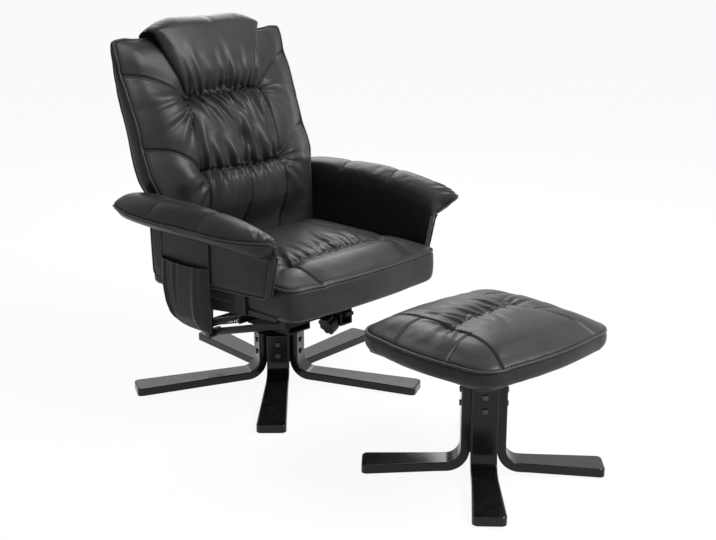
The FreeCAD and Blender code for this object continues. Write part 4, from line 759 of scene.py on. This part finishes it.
def arm(name, side):
    near = np.array([-0.001, 0.001])
    places = np.concatenate([np.linspace(WING_FRONT, -0.29, 24), np.linspace(-0.28, 0.13, 36),
                             np.linspace(0.135, PANEL_BACK - 0.002, 6), PANEL_BACK + near,
                             np.linspace(0.165, WING_BACK, 16)])
    pad = loft(f"{name}_arm_pad", [np.array([(side * x, y, z) for x, z in arm_ring(y)]) for y in places])
    along = np.linspace(-0.366, 0.226, 70)
    welt = [(side * 0.300, WING_BACK - 0.004, 0.522), (side * 0.345, WING_BACK - 0.003, 0.536)]
    welt += [(side * eased(y, WING_REACH), y, eased(y, WING_EDGE)) for y in along[::-1]]
    welt += [(side * 0.352, -0.362, 0.535), (side * 0.332, -0.345, 0.513), (side * 0.312, -0.328, 0.493)]
    line = np.array(welt)

    def free(co):
        gap = np.min(np.linalg.norm(co[:, None, :] - line[None, ::2, :], axis=2), axis=1)
        flank = np.clip((np.abs(co[:, 0]) - ARM_INNER - 0.006) / 0.02, 0, 1)
        return np.clip(gap / 0.03, 0, 1) * flank * np.where(co[:, 2] > 0.5, 1, 0.3)

    puff(pad, voxel=0.0055, cap=0.006, weight=free)
    refine(pad, 1)
    co = points(pad)
    chart = np.stack([np.abs(co[:, 0]), co[:, 1]], axis=1)
    rng = np.random.default_rng(21)
    detail = np.zeros(len(co))
    for y in (0.06, -0.13):
        seam = bezier((0.405, y), (0.36, y - 0.012), (0.30, y - 0.02))
        detail += groove(chart, seam, 0.003, 0.0025, 0.003, 0.02)
    detail += folds(chart, ((0.35, -0.364), (0.392, -0.3)), (-0.6, 0.8), 9, 0.06, 0.0035, 0.006, rng)
    sew(pad, normals(pad)[:, 2], 0.2, 0.6, detail)
    dress(pad, "seat", LEATHER, (f"{name}_arm_wing", f"{name}_arm_panel"))
    welt_on(f"{name}_wing_piping", welt, pad, WING_PIPING, "seat")
    below = np.array([(0, 0, -0.008)])
    tube(f"{name}_wing_second_piping", lay(line[2:-4] + below, pad, 0.0004), WING_LOW_PIPING, "seat")
    rim = [(PANEL_FRONT + 0.001, 0.484), (PANEL_TOE, 0.374)]
    rim += [(y, panel_foot(y)) for y in np.linspace(PANEL_TOE + 0.01, PANEL_BACK - 0.001, 40)]
    behind = [(PANEL_BACK, 0.40), (PANEL_BACK, 0.488)]
    for label, x, run in (("outer", ARM_OUTER, rim + behind), ("inner", ARM_INNER, rim[:-8])):
        path = [(side * x, y, z) for y, z in run]
        welt_on(f"{name}_panel_{label}_piping", path, pad, PANEL_PIPING, "seat")


# Side pocket: pleated bag with a hemmed mouth, and its back sheet that runs up under the wing
POCKET_FRONT, POCKET_LOW, POCKET_MOUTH, POCKET_TOP = -0.088, 0.236, 0.414, 0.488
POCKET_REAR = ((0.236, -0.02), (0.244, 0.025), (0.262, 0.06), (0.3, 0.086), (0.345, 0.1), (0.428, 0.107))


def pocket_rear(z):
    heights, backs = np.array(POCKET_REAR).T
    return np.interp(z, heights, backs)


def bag_point(v, u):
    mouth = POCKET_MOUTH - 0.005 * math.sin(math.pi * u)
    z = POCKET_LOW + (mouth - POCKET_LOW) * v
    y = POCKET_FRONT + (pocket_rear(z) - POCKET_FRONT) * u
    edge = min(1, min(u, 1 - u) / 0.14) ** 0.6
    round_foot = min(1, v / 0.22) ** 0.5
    bulge = (0.004 + 0.021 * math.sin(math.pi * min(1, 0.28 + 0.62 * v)) ** 0.6) * edge * round_foot
    sway = 0.9 * math.sin(v * 2.6 + 0.6) + 0.5 * math.sin(u * 9.0)
    pleat = math.sin(u * 29 + sway) + 0.7 * math.sin(u * 47 + 2 + 1.6 * sway)
    pleat *= 0.0023 * (0.45 + 0.55 * math.sin(u * 7 + 1 + v)) * edge * min(1, v * 5)
    return -(0.3262 + bulge + pleat), y, z


def back_point(v, u):
    z = POCKET_LOW + (POCKET_TOP - POCKET_LOW) * v
    return -0.3268, POCKET_FRONT + (pocket_rear(z) - POCKET_FRONT) * u, z


def pocket():
    bag = sheet_grid("pocket_bag", 70, 110, bag_point)
    apply(bag, "SOLIDIFY", thickness=POCKET_THICK, offset=0.0)
    refine(bag, 1)
    dress(bag, "seat", LEATHER, ("side_pocket",))
    mouth = np.array([bag_point(1.0, u) for u in np.linspace(0, 1, 111)])
    tube("pocket_hem", mouth + np.array([-0.0005, 0, 0]), POCKET_HEM, "seat")
    backing = sheet_grid("pocket_back", 60, 40, back_point)
    apply(backing, "SOLIDIFY", thickness=POCKET_THICK, offset=0.0)
    dress(backing, "seat", LEATHER)
    for label, u in (("front", 0), ("rear", 1)):
        edge = np.array([back_point(v, u) for v in np.linspace(0.3 if u else 0.02, 1, 60)])
        tube(f"pocket_{label}_edge", edge + np.array([-0.001, 0, 0]), POCKET_EDGE, "seat")


back_pad()
pillow()
seat_pad()
seat_skirt()
stool_pad()
arm("right", -1)
arm("left", 1)
pocket()


# Recline springs, drawn between the housing and the crossbar on the back
def springs():
    node = frame["nodes"]["recline_springs"]
    pair = bpy.data.objects.new("recline_spring_pair", node.data.copy())
    scene.collection.objects.link(pair)
    pair.matrix_world = node.matrix_world.copy()
    pair.data.materials.clear()
    pair.data.materials.append(DARK_BOLTS)
    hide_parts("recline_springs")
    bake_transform(pair)


springs()


# CAD nodes that show keep their shape and take a finished material
FINISH = {"black_lacquer": LACQUER, "black_steel": BLACK_STEEL, "bright_steel": DARK_BOLTS,
          "black_plastic": PLASTIC, "felt": FELT, "plywood": PLYWOOD, "black_leather": LEATHER}
for entry in frame["record"]["subparts"]:
    node = frame["nodes"].get(entry["node"])
    if node is None:
        continue
    node.data.materials.clear()
    node.data.materials.append(FINISH[entry["material_slot"]])


# Studio: pale floor, soft light
def seen_rays(nodes, links):
    """1 for the camera's own rays and for rays off metal and through glass."""
    path = nodes.new("ShaderNodeLightPath")
    total = path.outputs["Is Camera Ray"]
    for kind in ("Is Glossy Ray", "Is Transmission Ray"):
        either = nodes.new("ShaderNodeMath")
        either.operation = "MAXIMUM"
        links.new(total, either.inputs[0])
        links.new(path.outputs[kind], either.inputs[1])
        total = either.outputs[0]
    return total


FLOOR_SIDE, FLOOR_DROP, FLOOR_PAINT, FLOOR_GLOW = 30, 0.0005, 0.86, 0.94
BACKDROP, AMBIENT = 0.948, 0.2
LAMPS = (("key", (0.9, -2.4, 2.9), (0, -0.2, 0.4), 1.7, 180),
         ("fill", (-3.0, -1.2, 2.6), (0, 0, 0.5), 2.2, 6),
         ("rim", (1.7, 1.9, 2.5), (0, -0.2, 0.5), 2.2, 64))


def studio():
    bpy.ops.mesh.primitive_plane_add(size=FLOOR_SIDE, location=(0, 0, -FLOOR_DROP))
    floor = bpy.context.object
    floor.name = "floor"
    mat, nodes, links, shader, _ = new_material("floor_paint")
    shader.inputs["Base Color"].default_value = (FLOOR_PAINT, FLOOR_PAINT, FLOOR_PAINT, 1)
    shader.inputs["Roughness"].default_value = 0.9
    glow = nodes.new("ShaderNodeEmission")
    blend = nodes.new("ShaderNodeMixShader")
    share = nodes.new("ShaderNodeMath")
    share.operation = "MULTIPLY"
    share.inputs[1].default_value = FLOOR_GLOW
    links.new(seen_rays(nodes, links), share.inputs[0])
    links.new(share.outputs[0], blend.inputs["Fac"])
    links.new(shader.outputs["BSDF"], blend.inputs[1])
    links.new(glow.outputs["Emission"], blend.inputs[2])
    links.new(blend.outputs["Shader"], nodes["Material Output"].inputs["Surface"])
    floor.data.materials.append(mat)
    world = bpy.data.worlds.new("studio")
    world.use_nodes = True
    scene.world = world
    nodes, links = world.node_tree.nodes, world.node_tree.links
    soft = nodes["Background"]
    soft.inputs["Color"].default_value = (1, 1, 1, 1)
    soft.inputs["Strength"].default_value = AMBIENT
    white = nodes.new("ShaderNodeBackground")
    white.inputs["Color"].default_value = (BACKDROP, BACKDROP, BACKDROP, 1)
    mixer = nodes.new("ShaderNodeMixShader")
    links.new(seen_rays(nodes, links), mixer.inputs["Fac"])
    links.new(soft.outputs["Background"], mixer.inputs[1])
    links.new(white.outputs["Background"], mixer.inputs[2])
    links.new(mixer.outputs["Shader"], nodes["World Output"].inputs["Surface"])
    for name, place, target, size, power in LAMPS:
        data = bpy.data.lights.new(name, "AREA")
        data.size = size
        data.energy = power
        lamp = bpy.data.objects.new(name, data)
        scene.collection.objects.link(lamp)
        lamp.location = place
        lamp.rotation_euler = (Vector(target) - Vector(place)).to_track_quat("-Z", "Y").to_euler()


studio()
